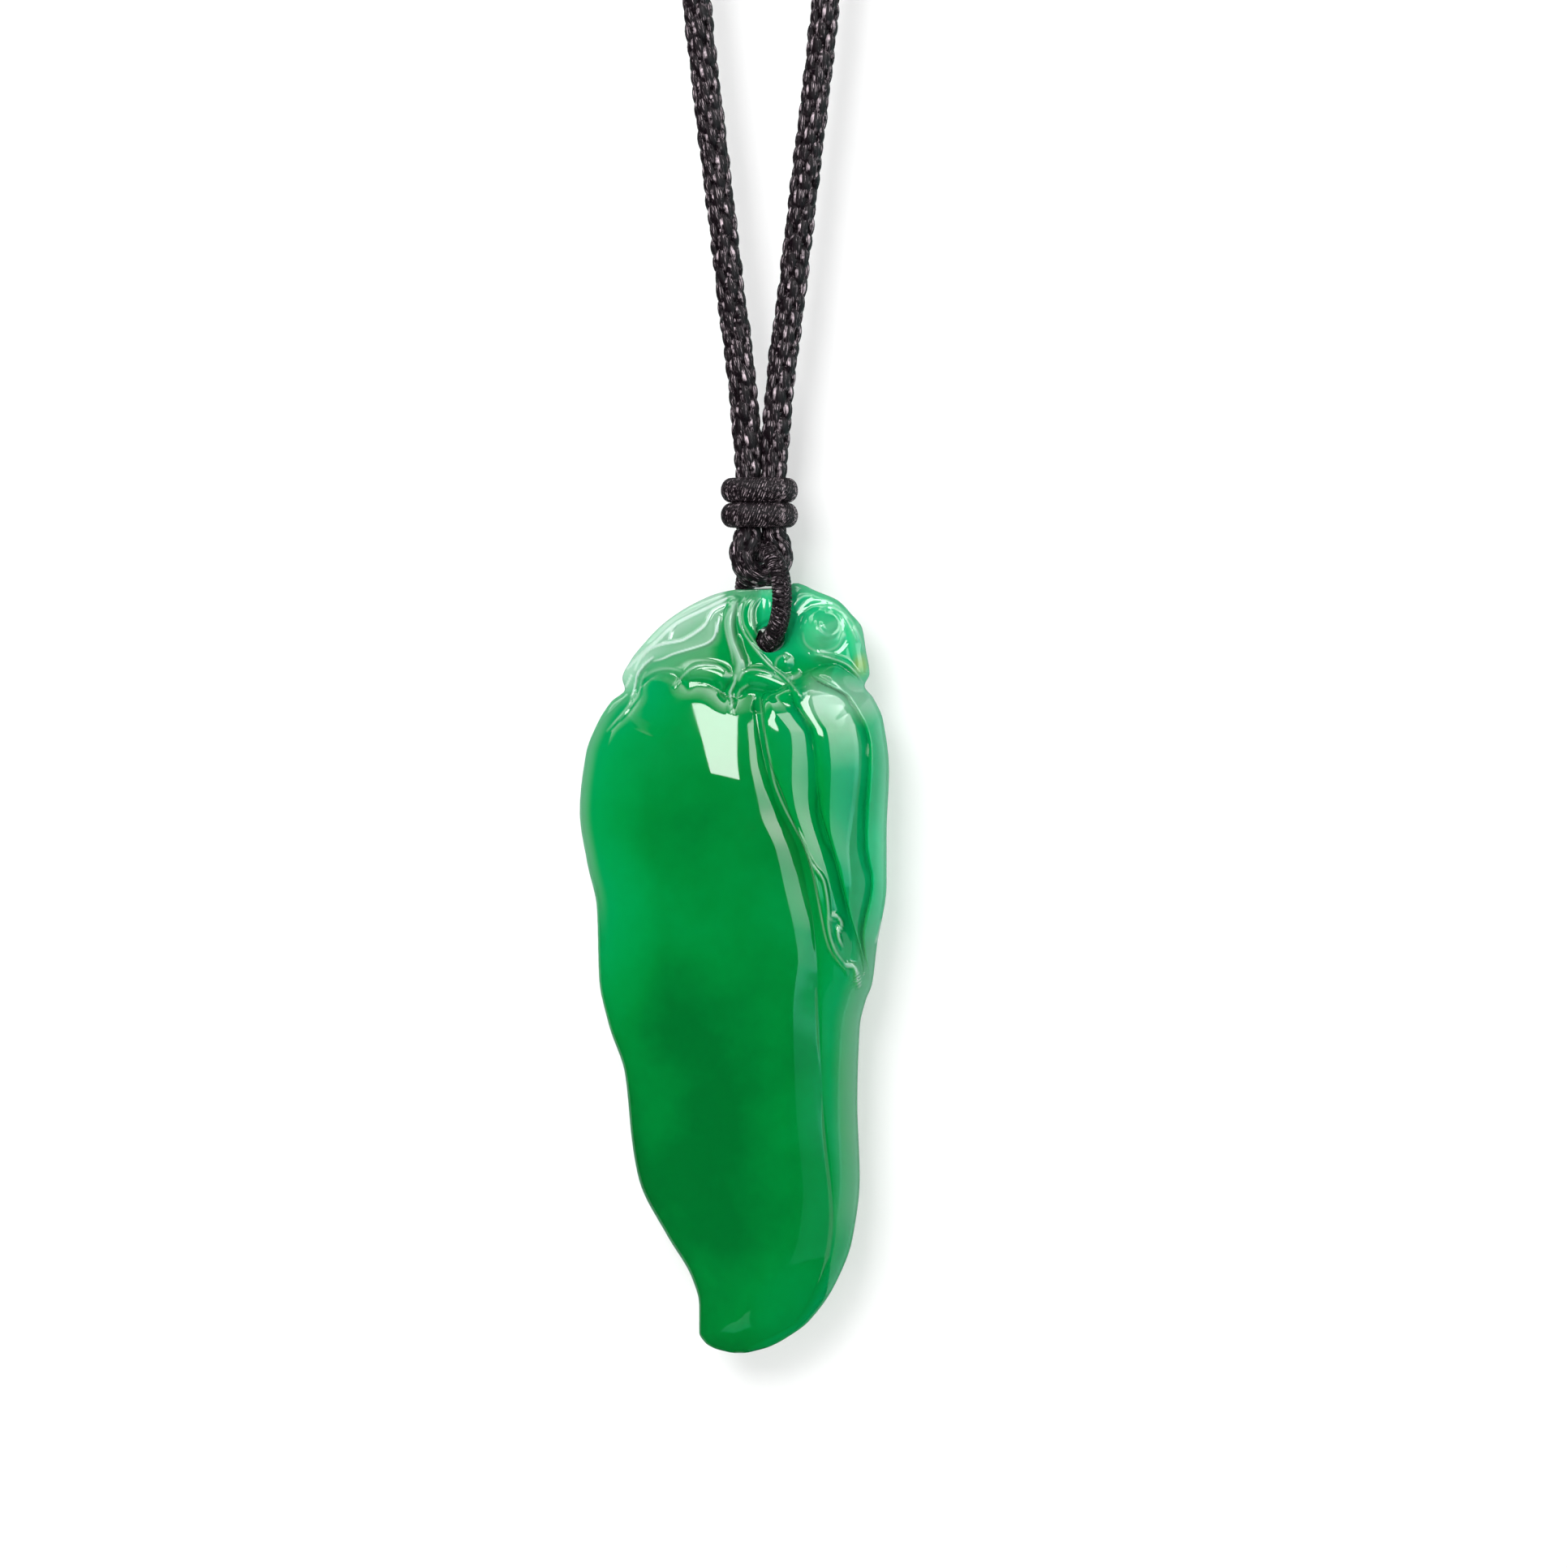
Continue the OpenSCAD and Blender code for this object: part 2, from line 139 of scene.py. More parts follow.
# How far the stone reaches to the front and back, and how this grows with each millimetre in x
FRONT_H = 5
BACK_H = 3.5
FRONT_LEAN = 0.015
BACK_LEAN = 0.045
# The back is thinner at the top, and from this height down it thickens by this slope
BACK_TOP_H = 1.4
BACK_TOP_Z = -2.4
BACK_SLOPE = 0.5
# Widths over which the rims are rounded
RIM_W = 5
BEAN_RIM_W = 5.5
STRIP_RIM_W = 7
BACK_RIM_W = 7.5
RELIEF_RIM_W = 1.2
# The hole for the ring, and the rounding of its mouth
BORE_R = 1.12
MOUTH_Y = 1.5
MOUTH_Z = 0.3
MOUTH_DEEP = 0.2
MOUTH_W = 0.35
# Folds and buds lie above this height, and the strip below it
CARVED_Z = -6
# Olive stain at the right rim (side x, height z), and its half height
STAIN = (8.2, -2.1)
STAIN_R = 1.3
# Round buds. Columns: side x, height z, radius, rise
BUDS = [(4.6, 0.9, 2.2, 1.3), (1.9, -1.95, 0.9, 0.4), (-3.6, 1.6, 2.4, 0.35)]
# Folds of the carving. Each: half width, rise, points (side x, height z)
FOLDS = {
    "stem": (0.6, 0.7, [
        (-2, 3.6), (-2.45, 2.1), (-2.55, 1), (-2.3, -0.4), (-1.75, -1.9), (-2.05, -3.4)]),
    "stem_wedge": (0.8, 0.6, [(-2.4, 0.2), (-1.95, -1.2), (-1.6, -2.3), (-2, -3.6)]),
    "hole_fold": (0.55, 0.4, [(-0.2, 3.9), (-0.85, 3), (-1.1, 2.1), (-0.95, 1.1), (-0.4, 0)]),
    "sepal_left": (1.3, 0.7, [(-6.6, -3.3), (-5.7, -2.75), (-4.6, -2.7), (-3.5, -3), (-2.6, -3.7)]),
    "sepal_right": (1.25, 0.7, [
        (-1.9, -3.9), (-1, -3.2), (0.1, -3.2), (1.2, -3.6), (2.2, -4.1), (3.3, -5)]),
    "tail": (0.6, 0.4, [(4.1, -1.1), (5.6, -1.6), (6.8, -2), (7.8, -2.8), (8.4, -3.5)]),
    "shell": (1, 0.45, [
        (3.9, 3.9), (5.2, 3.3), (6.5, 2.5), (7.3, 1.5), (7.9, 0.3), (8.2, -0.9), (8.4, -2.2),
        (8.3, -3.3)]),
    "shell_fold": (0.6, 0.4, [(2.4, 2.3), (2.8, 3.1), (3.5, 3.7), (4.6, 3.8)]),
}
# Fine carved lines. Each: half width, rise (below 0 a groove), points (side x, height z)
LINES = {
    "leaf_midrib": (0.34, 0.16, [
        (-2.1, 3.7), (-5, 2.3), (-7.1, 1.2), (-8.5, -0.1), (-9.7, -1.1), (-11.1, -2.5)]),
    "leaf_vein": (0.3, 0.14, [
        (-2.2, 3.2), (-3.9, 2.4), (-4.6, 1.2), (-5.3, 0.6), (-6.1, 0.1), (-6.7, -0.15),
        (-8.1, -0.4), (-9.1, -0.8), (-10, -1.7), (-10.4, -2.6)]),
    "leaf_cross": (0.26, 0.1, [(-7.1, 1.2), (-7.4, 0.6), (-7.6, -0.1)]),
    "leaf_stroke": (0.25, 0.14, [(-3.4, 1.9), (-3.55, 1.1), (-3.6, 0.5)]),
    "leaf_border": (0.26, 0.12, [
        (-3.7, 1.5), (-3.8, 0.3), (-4.4, -0.3), (-5.5, -0.7), (-7.2, -1.2), (-8.1, -1.6),
        (-8.9, -1.8)]),
    "tendril_edge": (0.26, 0.16, [
        (-8.8, -1.4), (-9.7, -2.2), (-10.2, -3), (-10.3, -3.6), (-10.55, -4.5), (-11, -5.6),
        (-12.7, -7.6)]),
    "tendril_side": (0.24, 0.12, [
        (-9.4, -2.6), (-9.8, -3.4), (-10.05, -4.4), (-10.6, -5.4), (-11.7, -6.7)]),
    "leaf_tip": (0.26, 0.12, [(-10.6, -2.9), (-10.9, -3.5), (-11.2, -4)]),
    "shoulder_arc": (0.3, 0.12, [(-9.9, -3.3), (-8.8, -2.6), (-7.6, -2.4), (-6.5, -2.6)]),
    "shoulder_crease": (1.8, -0.14, [(-6.4, -2.6), (-7.1, -4), (-8.4, -5.6), (-9.4, -7.8)]),
    "sepal_left_edge": (0.26, 0.16, [
        (-7.2, -4), (-6.3, -2.9), (-5.5, -2.3), (-4.7, -2.1), (-3.5, -2.2), (-2.7, -2.7)]),
    "spike": (0.3, 0.3, [(-2.1, -2.9), (-2.2, -3.6), (-2.55, -4.4), (-2.4, -5.2), (-2.45, -6.2)]),
    "sepal_right_edge": (0.26, 0.18, [
        (-1.9, -3.5), (-1.5, -2.8), (-0.8, -2.5), (0.2, -2.6), (1.1, -2.9)]),
    "sepal_under": (0.26, 0.16, [(-2, -4.9), (-1.7, -4.2), (-1, -3.7)]),
    "stem_left": (0.24, 0.14, [
        (-2.6, 2.6), (-2.95, 1.5), (-2.85, 0.4), (-2.5, -0.9), (-2.25, -2.2)]),
    "stem_long": (0.24, 0.18, [
        (-1, 3.6), (-1.7, 2.7), (-1.8, 1.5), (-1.3, 0.35), (-0.5, -0.8), (0.65, -2.1), (1.8, -3),
        (2.8, -4.1), (3.4, -5)]),
    "stem_second": (0.22, 0.14, [
        (-0.7, 3.6), (-1.4, 2.7), (-1.5, 1.5), (-0.95, 0.35), (0.15, -1.15)]),
    "stem_third": (0.22, 0.14, [(0, 3.6), (-0.65, 2.5), (-0.6, 1), (0, -0.15)]),
    "shell_inner": (0.26, 0.12, [(5.4, 2.9), (6.1, 2.5), (6.8, 2), (7.45, 0.7), (7.9, -0.2)]),
    "shell_outer": (0.26, 0.12, [(5.1, 3.4), (6.3, 2.75), (7.3, 1.75), (8.1, 0.2), (8.4, -0.9)]),
    "snail_arc": (0.3, 0.12, [
        (3.4, 0.6), (3.6, -0.3), (4.3, -0.9), (5.2, -1), (6.2, -0.6), (6.9, 0.4)]),
    "tail_edge": (0.24, 0.16, [(4.3, -1.2), (5.2, -1.4), (6.9, -2), (7.8, -2.8), (8.4, -3.6)]),
    "bud_arc": (0.22, 0.14, [(1.15, -2.3), (1.25, -1.8), (1.6, -1.4), (2.1, -1.3)]),
    "triangle": (0.5, 0.2, [(2.1, -3.2), (2.8, -3.1), (3.3, -2.8)]),
    "groove_pod": (0.26, -0.07, [
        (-0.4, -5.6), (0, -8.8), (0.2, -10.8), (0.6, -12.3), (1.3, -13.5), (1.9, -14.7),
        (2.4, -16.2), (2.8, -17.3), (3.2, -18.5), (3.6, -19.9), (3.9, -21.7), (4.3, -24.3),
        (4.5, -25.7), (4.6, -28), (4.7, -31.5), (4.7, -36.1), (5.2, -40.6), (5.8, -46),
        (5.9, -48.1), (5.6, -50.4), (5, -52.2)]),
    "groove_inner": (0.24, -0.1, [
        (2.6, -4.9), (3.3, -6.3), (3.9, -7.5), (4.5, -9.5), (4.8, -11.3), (4.7, -12.6),
        (4.6, -13.9), (4.8, -15.1), (5.2, -16.5), (5.7, -17.3), (6.3, -18.7), (6.6, -20.3),
        (6.9, -21.7), (7.1, -22.6)]),
    "groove_outer": (0.24, -0.1, [
        (3.3, -2.8), (4.8, -3.1), (5.9, -3.7), (6.9, -4.7), (7.5, -5.4), (8, -6.4), (8.4, -7),
        (8.7, -8.1), (8.9, -9.5), (8.9, -11.3), (8.7, -12.6), (8.5, -13.9), (8.5, -15.7),
        (8.6, -18.1), (9.1, -19.4), (9.1, -21), (8.7, -22.6), (8.1, -24.3), (8, -25.2)]),
    "bean_ridge": (0.26, 0.14, [
        (-0.1, -4.7), (0.1, -6.6), (0.5, -8.8), (0.8, -10.4), (1.1, -11.8), (1.5, -12.9),
        (2.1, -14.2), (2.9, -15.7), (3.5, -16.9), (4.1, -18.7), (4.5, -20.5), (4.9, -22.6),
        (5.3, -24.5), (5.8, -25.7), (6.7, -26.9)]),
    "bean_edge": (0.28, 0.2, [
        (3.9, -17.7), (4.3, -18.6), (5, -19.5), (5.3, -20.5), (5.5, -22.1), (5.5, -23.3),
        (5.7, -24.5), (6.2, -25.7), (6.9, -26.6)]),
    "bean_curl": (0.3, 0.32, [
        (5.5, -22.9), (6.2, -22.7), (6.6, -23.3), (6.3, -24.1), (6.6, -25.1)]),
    "end_curl": (0.32, 0.34, [
        (6.7, -26.9), (7.2, -26.7), (7.7, -26.9), (7.9, -27.5), (8.1, -28.5)]),
    "tendril_leaf": (0.38, 0.3, [(9.9, -23), (9.7, -24), (9.4, -24.9)]),
}
# The share of its length over which a ridge thins out at each end
RIDGE_TAPER = 0.18
# The leaf's edge over the pod: how far it drops over what width, the width over which its high side
# fades, the share of its length over which it thins out at each end, and its points
EDGE_DROP = 0.18
EDGE_W = 0.5
EDGE_FADE = 2.5
EDGE_TAPER = 0.2
LEAF_EDGE = [
    (-12.7, -7.6), (-11.9, -6.6), (-11.15, -5.76), (-10.64, -4.83), (-10.3, -3.64), (-10.2, -3.04),
    (-9.71, -2.36), (-8.94, -1.72), (-8.09, -1.47), (-7.24, -1.21), (-5.54, -0.83), (-4.01, -0.15),
    (-3.67, 1.21), (-3.2, 2.2),
]
# Round grooves of the snail. Columns: side x, height z, radius, half width, depth
SPIRAL = [(5.1, 0.9, 2, 0.45, 0.12), (5.55, 1.3, 0.78, 0.26, 0.1), (5.35, 1.15, 1.25, 0.26, 0.06)]

# Columns of the stone's front between its rims and valleys, their shares of the width above the
# valleys, and columns of its back
SPAN_COLUMNS = (98, 12, 42, 42, 32)
SPAN_SHARE = (0, 0.56, 0.62, 0.74, 0.88, 1)
BACK_COLUMNS = 40
# Heights of the stone's rows: the top, runs down from one height to another by a spacing, the tip
TOP_ROWS = [4.62, 4.58, 4.54, 4.48, 4.42, 4.36, 4.3, 4.25, 4.2, 4.17]
ROW_RUNS = [
    (4.14, 3.3, 0.05), (3.3, -8, 0.09), (-8, -29.4, 0.24), (-29.4, -56, 0.6), (-56, -58.15, 0.1),
]
TIP_ROWS = [-58.2, -58.3, -58.4, -58.5, -58.6]
# The outline is followed most closely above this height
CROWN_Z = 3.4

# Route of one strand of the cord from the fold up to the nape.
# Columns: side x, depth y, height z, width, depth of the cord
CORD_D = 2.4
FOLD_R = 1.79
FOLD_Z = 6.96
STRAND = [
    (FOLD_R * math.sin(a), 0, FOLD_Z - FOLD_R * math.cos(a), 1.9, 2.5)
    for a in np.linspace(0, math.pi / 2, 5)
] + [
    (1.57, 0, 7.6, 2.3, 2.5), (1.24, 0, 8.2, 2.4, 2.5), (1.08, 0, 8.75, 2.2, 2.45),
    (1.03, 0, 9.15, 2, 2.4), (1.02, 0, 10.7, 1.9, 2.4), (1.02, 0, 12.3, 1.9, 2.4),
    (1.03, 0, 13.3, 2.1, 2.4), (1.15, 0, 16.2, 2.4, 2.4), (1.65, 0, 22, 2.45, 2.4),
] + [(*place, CORD_D, CORD_D) for place in [
    (2.45, 0, 28), (3.5, 0, 37), (4.6, 0, 46), (5.8, 0, 57), (7.2, 0, 69), (9, 0, 81),
    (11.4, 0, 93), (14.6, 0, 105), (18.6, 0.2, 117), (23.4, 0.6, 128.5), (28.8, 1.4, 140),
    (34.6, 2.8, 151), (40.4, 5, 162), (46, 8.5, 172.5), (51.2, 13.5, 183), (55.6, 20, 193.5),
    (59, 28.5, 203.5), (61.4, 38.5, 212.5), (62.4, 50, 221), (61.8, 62, 229), (59.2, 74, 236),
    (54.4, 85.5, 242), (47.2, 96, 246.5), (38, 105, 249.6), (27.4, 112, 251.3),
    (16.4, 116.6, 251.9), (6.5, 118, 252), (0.6, 118, 252),
]]
# Between these heights the cord turns from the fold's way to the front's
TURN_LOW = 8
TURN_HIGH = 9.1
# Above this height its depth direction is carried along its line
CARRIED_Z = 24
# Length of cord to either side of the fold that is made in full detail, and the route's spacing
# there and beyond
SHOWN = 66
NEAR_STEP = 0.5
FAR_STEP = 1.2
# The braid: a core, as a share of the cord, and spiral rows of short bundles. Their lead is the
# length of cord in one turn, and their lean is in radians for each millimetre.
CORE_SHARE = 0.34
BRAID_ROWS = 5
BRAID_LEAD = 22
BRAID_END = 1.5
BUNDLE_STEP = 1.34
BUNDLE_L = 2.8
BUNDLE_W = 0.5
BUNDLE_H = 0.27
BUNDLE_LEAN = -0.13

# The ring: the radius of its middle line, its thickness, the height of its middle, its width where
# the fold grips it, how deep its core lies under the thread, and its knots
RING_R = 3.7
RING_WIRE_D = 1.7
RING_Z = 3.43
RING_GRIP_W = 1.25
RING_SUNK = 0.14
RING_KNOTS = 37
# The wraps: their heights, the straight run between their round ends, their middle x, the radius
# of those ends, how thick and high they are, and how deep their core lies
WRAP_Z = {"upper_wrap": 12.25, "lower_wrap": 10.2}
WRAP_RUN = 1.37
WRAP_X = -0.15
WRAP_R = 1.66
WRAP_THICK = 1.7
WRAP_H = 2.06
WRAP_SUNK = 0.09
# The nape's binding: its length, its thickness, the radius of its ends, how deep its core lies
BINDING_L = 12
BINDING_D = 4.6
BINDING_END_R = 1.5
BINDING_SUNK = 0.12


# Shaders

def grey(value):
    return (value, value, value)


class Nodes:
    """The nodes of a material, light or world, and short calls that add and link them."""

    def __init__(self, owner):
        owner.use_nodes = True
        self.tree = owner.node_tree
        self.tree.nodes.clear()

    def node(self, kind, inputs=None, **settings):
        """Adds a node, whose inputs are numbers, colours or other nodes' outputs."""
        made = self.tree.nodes.new("ShaderNode" + kind)
        for key, value in settings.items():
            setattr(made, key, value)
        for socket, value in (inputs or {}).items():
            if isinstance(value, bpy.types.NodeSocket):
                self.link(value, made, socket)
            else:
                given = (*value, 1) if isinstance(value, tuple) else value
                made.inputs[socket].default_value = given
        return made

    def link(self, source, target, socket):
        self.tree.links.new(source, target.inputs[socket])

    def attribute(self, name):
        return self.node("Attribute", attribute_name=name).outputs["Fac"]

    def noise(self, vector, scale, detail, roughness):
        inputs = {"Vector": vector, "Scale": scale, "Detail": detail, "Roughness": roughness}
        return self.node("TexNoise", inputs).outputs["Fac"]

    def ramp(self, value, stops):
        """Colour ramp. Each stop: place, colour."""
        made = self.node("ValToRGB", {"Fac": value})
        row = made.color_ramp.elements
        while len(row) < len(stops):
            row.new(0.5)
        for element, (place, colour) in zip(row, stops):
            element.position = place
            element.color = (*colour, 1)
        return made.outputs["Color"]

    def math(self, operation, a, b):
        return self.node("Math", {0: a, 1: b}, operation=operation).outputs[0]

    def mix(self, share, a, b):
        """Mixes two colours: the node's sockets 6 and 7, to its output 2."""
        return self.node("Mix", {0: share, 6: a, 7: b}, data_type="RGBA").outputs[2]

    def bump(self, height, distance, strength):
        inputs = {"Height": height, "Distance": distance, "Strength": strength}
        return self.node("Bump", inputs).outputs["Normal"]


class Shader(Nodes):
    """A material with one principled surface."""

    def __init__(self, name, **fixed):
        self.material = bpy.data.materials.new(name)
        super().__init__(self.material)
        self.surface = self.node("BsdfPrincipled")
        for socket, value in fixed.items():
            self.surface.inputs[socket.replace("_", " ")].default_value = value
        self.out = self.node("OutputMaterial", {"Surface": self.surface.outputs["BSDF"]})


# Colours of the jade from thin (0) to thick (1), the thin end also serving as painted light, the
# pale one where it is carved pale and for painted highlights, and of its stain
JADE_BODY_AND_PAINTED_GLOW = [
    (0, (0.01, 0.52, 0.21)), (0.25, (0, 0.295, 0.09)), (0.475, (0, 0.27, 0.06)),
    (0.66, (0, 0.24, 0.043)), (0.81, (0, 0.2, 0.03)), (1, (0, 0.135, 0.02)),
]
JADE_PALE_AND_HIGHLIGHT = (0.51, 0.68, 0.59)
JADE_OLIVE = (0.3, 0.45, 0.1)
# How fine its clouds and the marks of its polish are, and how far the clouds change its depth
CLOUD_SCALE = 90
POLISH_SCALE = 420
CLOUD_DEPTH = 0.68
# Roughness of the polish, at its smoothest and its dullest
POLISH = [(0.3, grey(0.03)), (0.75, grey(0.07))]


def jade():
    """Polished jadeite: deep green where thick, bluish at thin rims, pale where carved thin, with
    painted light, shade and highlights carried in its tones.
    """
    s = Shader("jade", IOR=1.6, Subsurface_Weight=0.2, Subsurface_Scale=0.0015,
               Subsurface_Radius=(0.25, 1, 0.5))
    place = s.node("TexCoord").outputs["Object"]
    cloud = s.noise(place, CLOUD_SCALE, 4, 0.55)
    clouded = s.math("MULTIPLY", s.math("SUBTRACT", cloud, 0.5), CLOUD_DEPTH)
    body = s.ramp(s.math("ADD", s.attribute("depth"), clouded), JADE_BODY_AND_PAINTED_GLOW)
    pale = s.math("MULTIPLY", s.attribute("pale"), s.math("ADD", cloud, 0.45))
    tone = s.mix(s.attribute("olive"), s.mix(pale, body, JADE_PALE_AND_HIGHLIGHT), JADE_OLIVE)
    s.link(tone, s.surface, "Base Color")
    s.link(s.ramp(s.noise(place, POLISH_SCALE, 4, 0.6), POLISH), s.surface, "Roughness")
    return s.material


THREAD_DARK = (0.006, 0.003, 0.005)
# How fast a streak changes along its thread, and how far filaments stand out of it, in metres
STREAK_RUN = 0.7
FILAMENT = 0.00012
# Where in the noise a streak, a painted highlight, begins to shine and turns smooth, and where
# patches of streaks show
STREAK_LIT = [(0.54, grey(0)), (0.64, grey(1))]
STREAK_ROUGH = [(0.42, grey(0.7)), (0.6, grey(0.18))]
PATCH_LIT = [(0.44, grey(0)), (0.6, grey(1))]


def thread(name, glint, fibres, twist, patches, painted_light_from=None):
    """Satin thread: fine filaments that lean along it, with painted highlights in streaks of the
    colour glint mixed into its base colour, black in between. fibres is how many lie round it,
    twist how much they turn in each millimetre, patches how fine the lit places are, and the last
    argument gives the places along a short bundle between which its streaks begin, so that only the
    bundle's upper end shows them, as painted light from above."""
    s = Shader(name, IOR=1.28, Sheen_Weight=0.02, Sheen_Roughness=0.4,
               Sheen_Tint=(0.75, 0.6, 0.7, 1))
    split = s.node("SeparateXYZ", {0: s.node("UVMap", uv_map="fibres").outputs["UV"]})
    along = split.outputs["Y"]
    turn = s.math("ADD", split.outputs["X"], s.math("MULTIPLY", along, twist))
    where = s.node("CombineXYZ", {
        "X": s.math("MULTIPLY", turn, fibres), "Y": s.math("MULTIPLY", along, STREAK_RUN)})
    streak = s.noise(where.outputs[0], 1, 2, 0.6)
    patch = s.ramp(s.noise(s.node("TexCoord").outputs["Object"], patches, 2, 0.6), PATCH_LIT)
    # painted light: streaks show only towards the upper end of a bundle, where light from above
    # falls
    if painted_light_from:
        begin = s.node("MapRange", {"Value": along, "From Min": painted_light_from[0], "From Max": painted_light_from[1]})
        patch = s.math("MULTIPLY", patch, begin.outputs["Result"])
    bright = s.math("MULTIPLY", s.ramp(streak, STREAK_LIT), patch)
    # painted highlights: the lit streaks are mixed into the base colour
    s.link(s.mix(bright, THREAD_DARK, glint), s.surface, "Base Color")
    s.link(s.ramp(streak, STREAK_ROUGH), s.surface, "Roughness")
    s.link(s.bump(streak, FILAMENT, 0.9), s.surface, "Normal")
    return s.material


# Meshes

def unit(vectors):
    return vectors / np.linalg.norm(vectors, axis=-1, keepdims=True)


def across(vectors, ahead):
    """The part of each vector that is square to the way ahead, at length 1."""
    return unit(vectors - np.sum(vectors * ahead, axis=-1, keepdims=True) * ahead)


def run_of(points):
    """How far along their own line the points are."""
    return np.concatenate([[0], np.cumsum(np.linalg.norm(np.diff(points, axis=0), axis=1))])


def resample(table, run, places):
    """Rows of a table, whose own rows lie at run, at other places."""
    return np.stack([np.interp(places, run, column) for column in table.T], 1)


def circle(count):
    """Cosines and sines of evenly spaced turns, from none to a full one."""
    a = np.linspace(0, math.tau, count + 1)
    return np.cos(a), np.sin(a)


def add(name, data):
    """Puts a mesh, light or camera into the scene."""
    made = bpy.data.objects.new(name, data)
    bpy.context.scene.collection.objects.link(made)
    return made


def mesh_of(name, points, faces):
    """Mesh of points drawn in millimetres from the stone's hole."""
    mesh = bpy.data.meshes.new(name)
    mesh.from_pydata(((points + HOLE) * MM).tolist(), [], faces)
    return mesh


def piece(name, points, faces, material, body, node):
    """Adds a smooth piece that rides on body in place of the CAD node."""
    mesh = mesh_of(name, points, faces)
    mesh.polygons.foreach_set("use_smooth", [True] * len(mesh.polygons))
    mesh.materials.append(material)
    made = add(name, mesh)
    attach(made, body)
    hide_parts(node)
    return made


class Skin:
    """Gathers tubes into one mesh: their points, faces and the corners' fibre coordinates."""

    def __init__(self):
        self.points, self.faces, self.fibres, self.count = [], [], [], 0

    def tube(self, path, up, wide, high, sides, closed=False):
        """Adds a tube with an oval section: high is its half size along up, wide the one across."""
        path = np.asarray(path, float)
        ahead = np.roll(path, -1, 0) - np.roll(path, 1, 0) if closed else np.gradient(path, axis=0)
        ahead = unit(ahead)
        up = across(np.broadcast_to(up, path.shape), ahead)
        side = np.cross(ahead, up)
        wide, high = (np.broadcast_to(v, len(path))[:, None, None] for v in (wide, high))
        turn = np.arange(sides) * math.tau / sides
        rings = (path[:, None] + side[:, None] * wide * np.cos(turn)[None, :, None]
                 + up[:, None] * high * np.sin(turn)[None, :, None])
        run = run_of(path)
        last = len(path) if closed else len(path) - 1
        i, k = np.meshgrid(np.arange(last), np.arange(sides), indexing="ij")
        i, k = i.ravel(), k.ravel()
        j, n = (i + 1) % len(path), (k + 1) % sides
        quads = np.stack([i * sides + k, j * sides + k, j * sides + n, i * sides + n], 1)
        low, far = run[i], np.where(j > 0, run[j], run[-1] + run[1])
        left, right = k / sides, (k + 1) / sides
        fibres = np.stack([left, low, left, far, right, far, right, low], 1)
        self.points.append(rings.reshape(-1, 3))
        self.faces += (quads + self.count).tolist()
        self.fibres.append(fibres.reshape(-1, 2))
        if not closed:
            for first, at, order in ((0, run[0], 1), (last * sides, run[-1], -1)):
                self.faces.append([self.count + first + s for s in range(sides)][::order])
                self.fibres.append(np.tile([0.0, at], (sides, 1)))
        self.count += len(path) * sides

    def piece(self, name, material, slot, node):
        """Adds the tubes as one piece of the necklace's body."""
        points = np.concatenate(self.points)
        made = piece(name, points, self.faces, material, "necklace", node)
        layer = made.data.uv_layers.new(name="fibres")
        layer.data.foreach_set("uv", np.concatenate(self.fibres).astype(np.float32).ravel())


# Camera, stage and lights

LENS = 200
SENSOR_W = 36
# The backdrop's left, right, low and high edge and its depth y
BACKDROP = (-90, 94, -92, 110, 5.2)
# The floor's left, right, front and back edge and its height z
FLOOR = (-900, 900, -900, 1100, -95)


def camera():
    """Long lens straight on to the front, framed as the photograph is."""
    made = add("camera", bpy.data.cameras.new("camera"))
    made.data.lens = LENS
    made.data.sensor_width = SENSOR_W
    away = FRAME_W * max(IMAGE_W, IMAGE_H) / IMAGE_W / SENSOR_W * LENS
    made.location = (HOLE + (FRAME_X, -away, FRAME_Z)) * MM
    made.rotation_euler = (math.radians(90), 0, 0)
    bpy.context.scene.camera = made


def softbox(name, direction, away, size, radiance, colour=(1, 1, 1), shade=True, shine=True,
            fade=None):
    """Rectangular light seen from the stone in a direction (degrees right and up) at a distance.
    It may serve the shading or the reflections alone. fade lists its colours up its height, each
    with the share of the height."""
    light = bpy.data.lights.new(name, "AREA")
    light.shape = "RECTANGLE"
    light.size, light.size_y = size[0] * MM, size[1] * MM
    light.energy = radiance * math.pi * light.size * light.size_y
    light.color = colour
    if fade:
        nodes = Nodes(light)
        place = nodes.node("NewGeometry").outputs["Parametric"]
        height = nodes.node("SeparateXYZ", {0: place}).outputs["Y"]
        glow = nodes.node("Emission", {"Color": nodes.ramp(height, fade)})
        nodes.node("OutputLight", {"Surface": glow.outputs[0]})
    made = add(name, light)
    right, up = (math.radians(v) for v in direction)
    way = Vector((math.sin(right) * math.cos(up), -math.cos(right) * math.cos(up), math.sin(up)))
    made.location = Vector((HOLE + LIT_MIDDLE) * MM) + way * away * MM
    made.rotation_euler = (-way).to_track_quat("-Z", "Y").to_euler()
    made.visible_diffuse = shade
    made.visible_glossy = shine


def paper(name, brightness, roughness, glow):
    """Matt paper with a faint glow of its own, so that it stays pale."""
    return Shader(name, Base_Color=(*grey(brightness), 1), Roughness=roughness,
                  Emission_Color=(1, 1, 1, 1), Emission_Strength=glow)


def card(name, corners, material):
    """Flat stage card with the four given corners."""
    mesh = mesh_of(name, np.array(corners), [(0, 1, 2, 3)])
    mesh.materials.append(material)
    made = add(name, mesh)
    made.visible_glossy = False
    return made


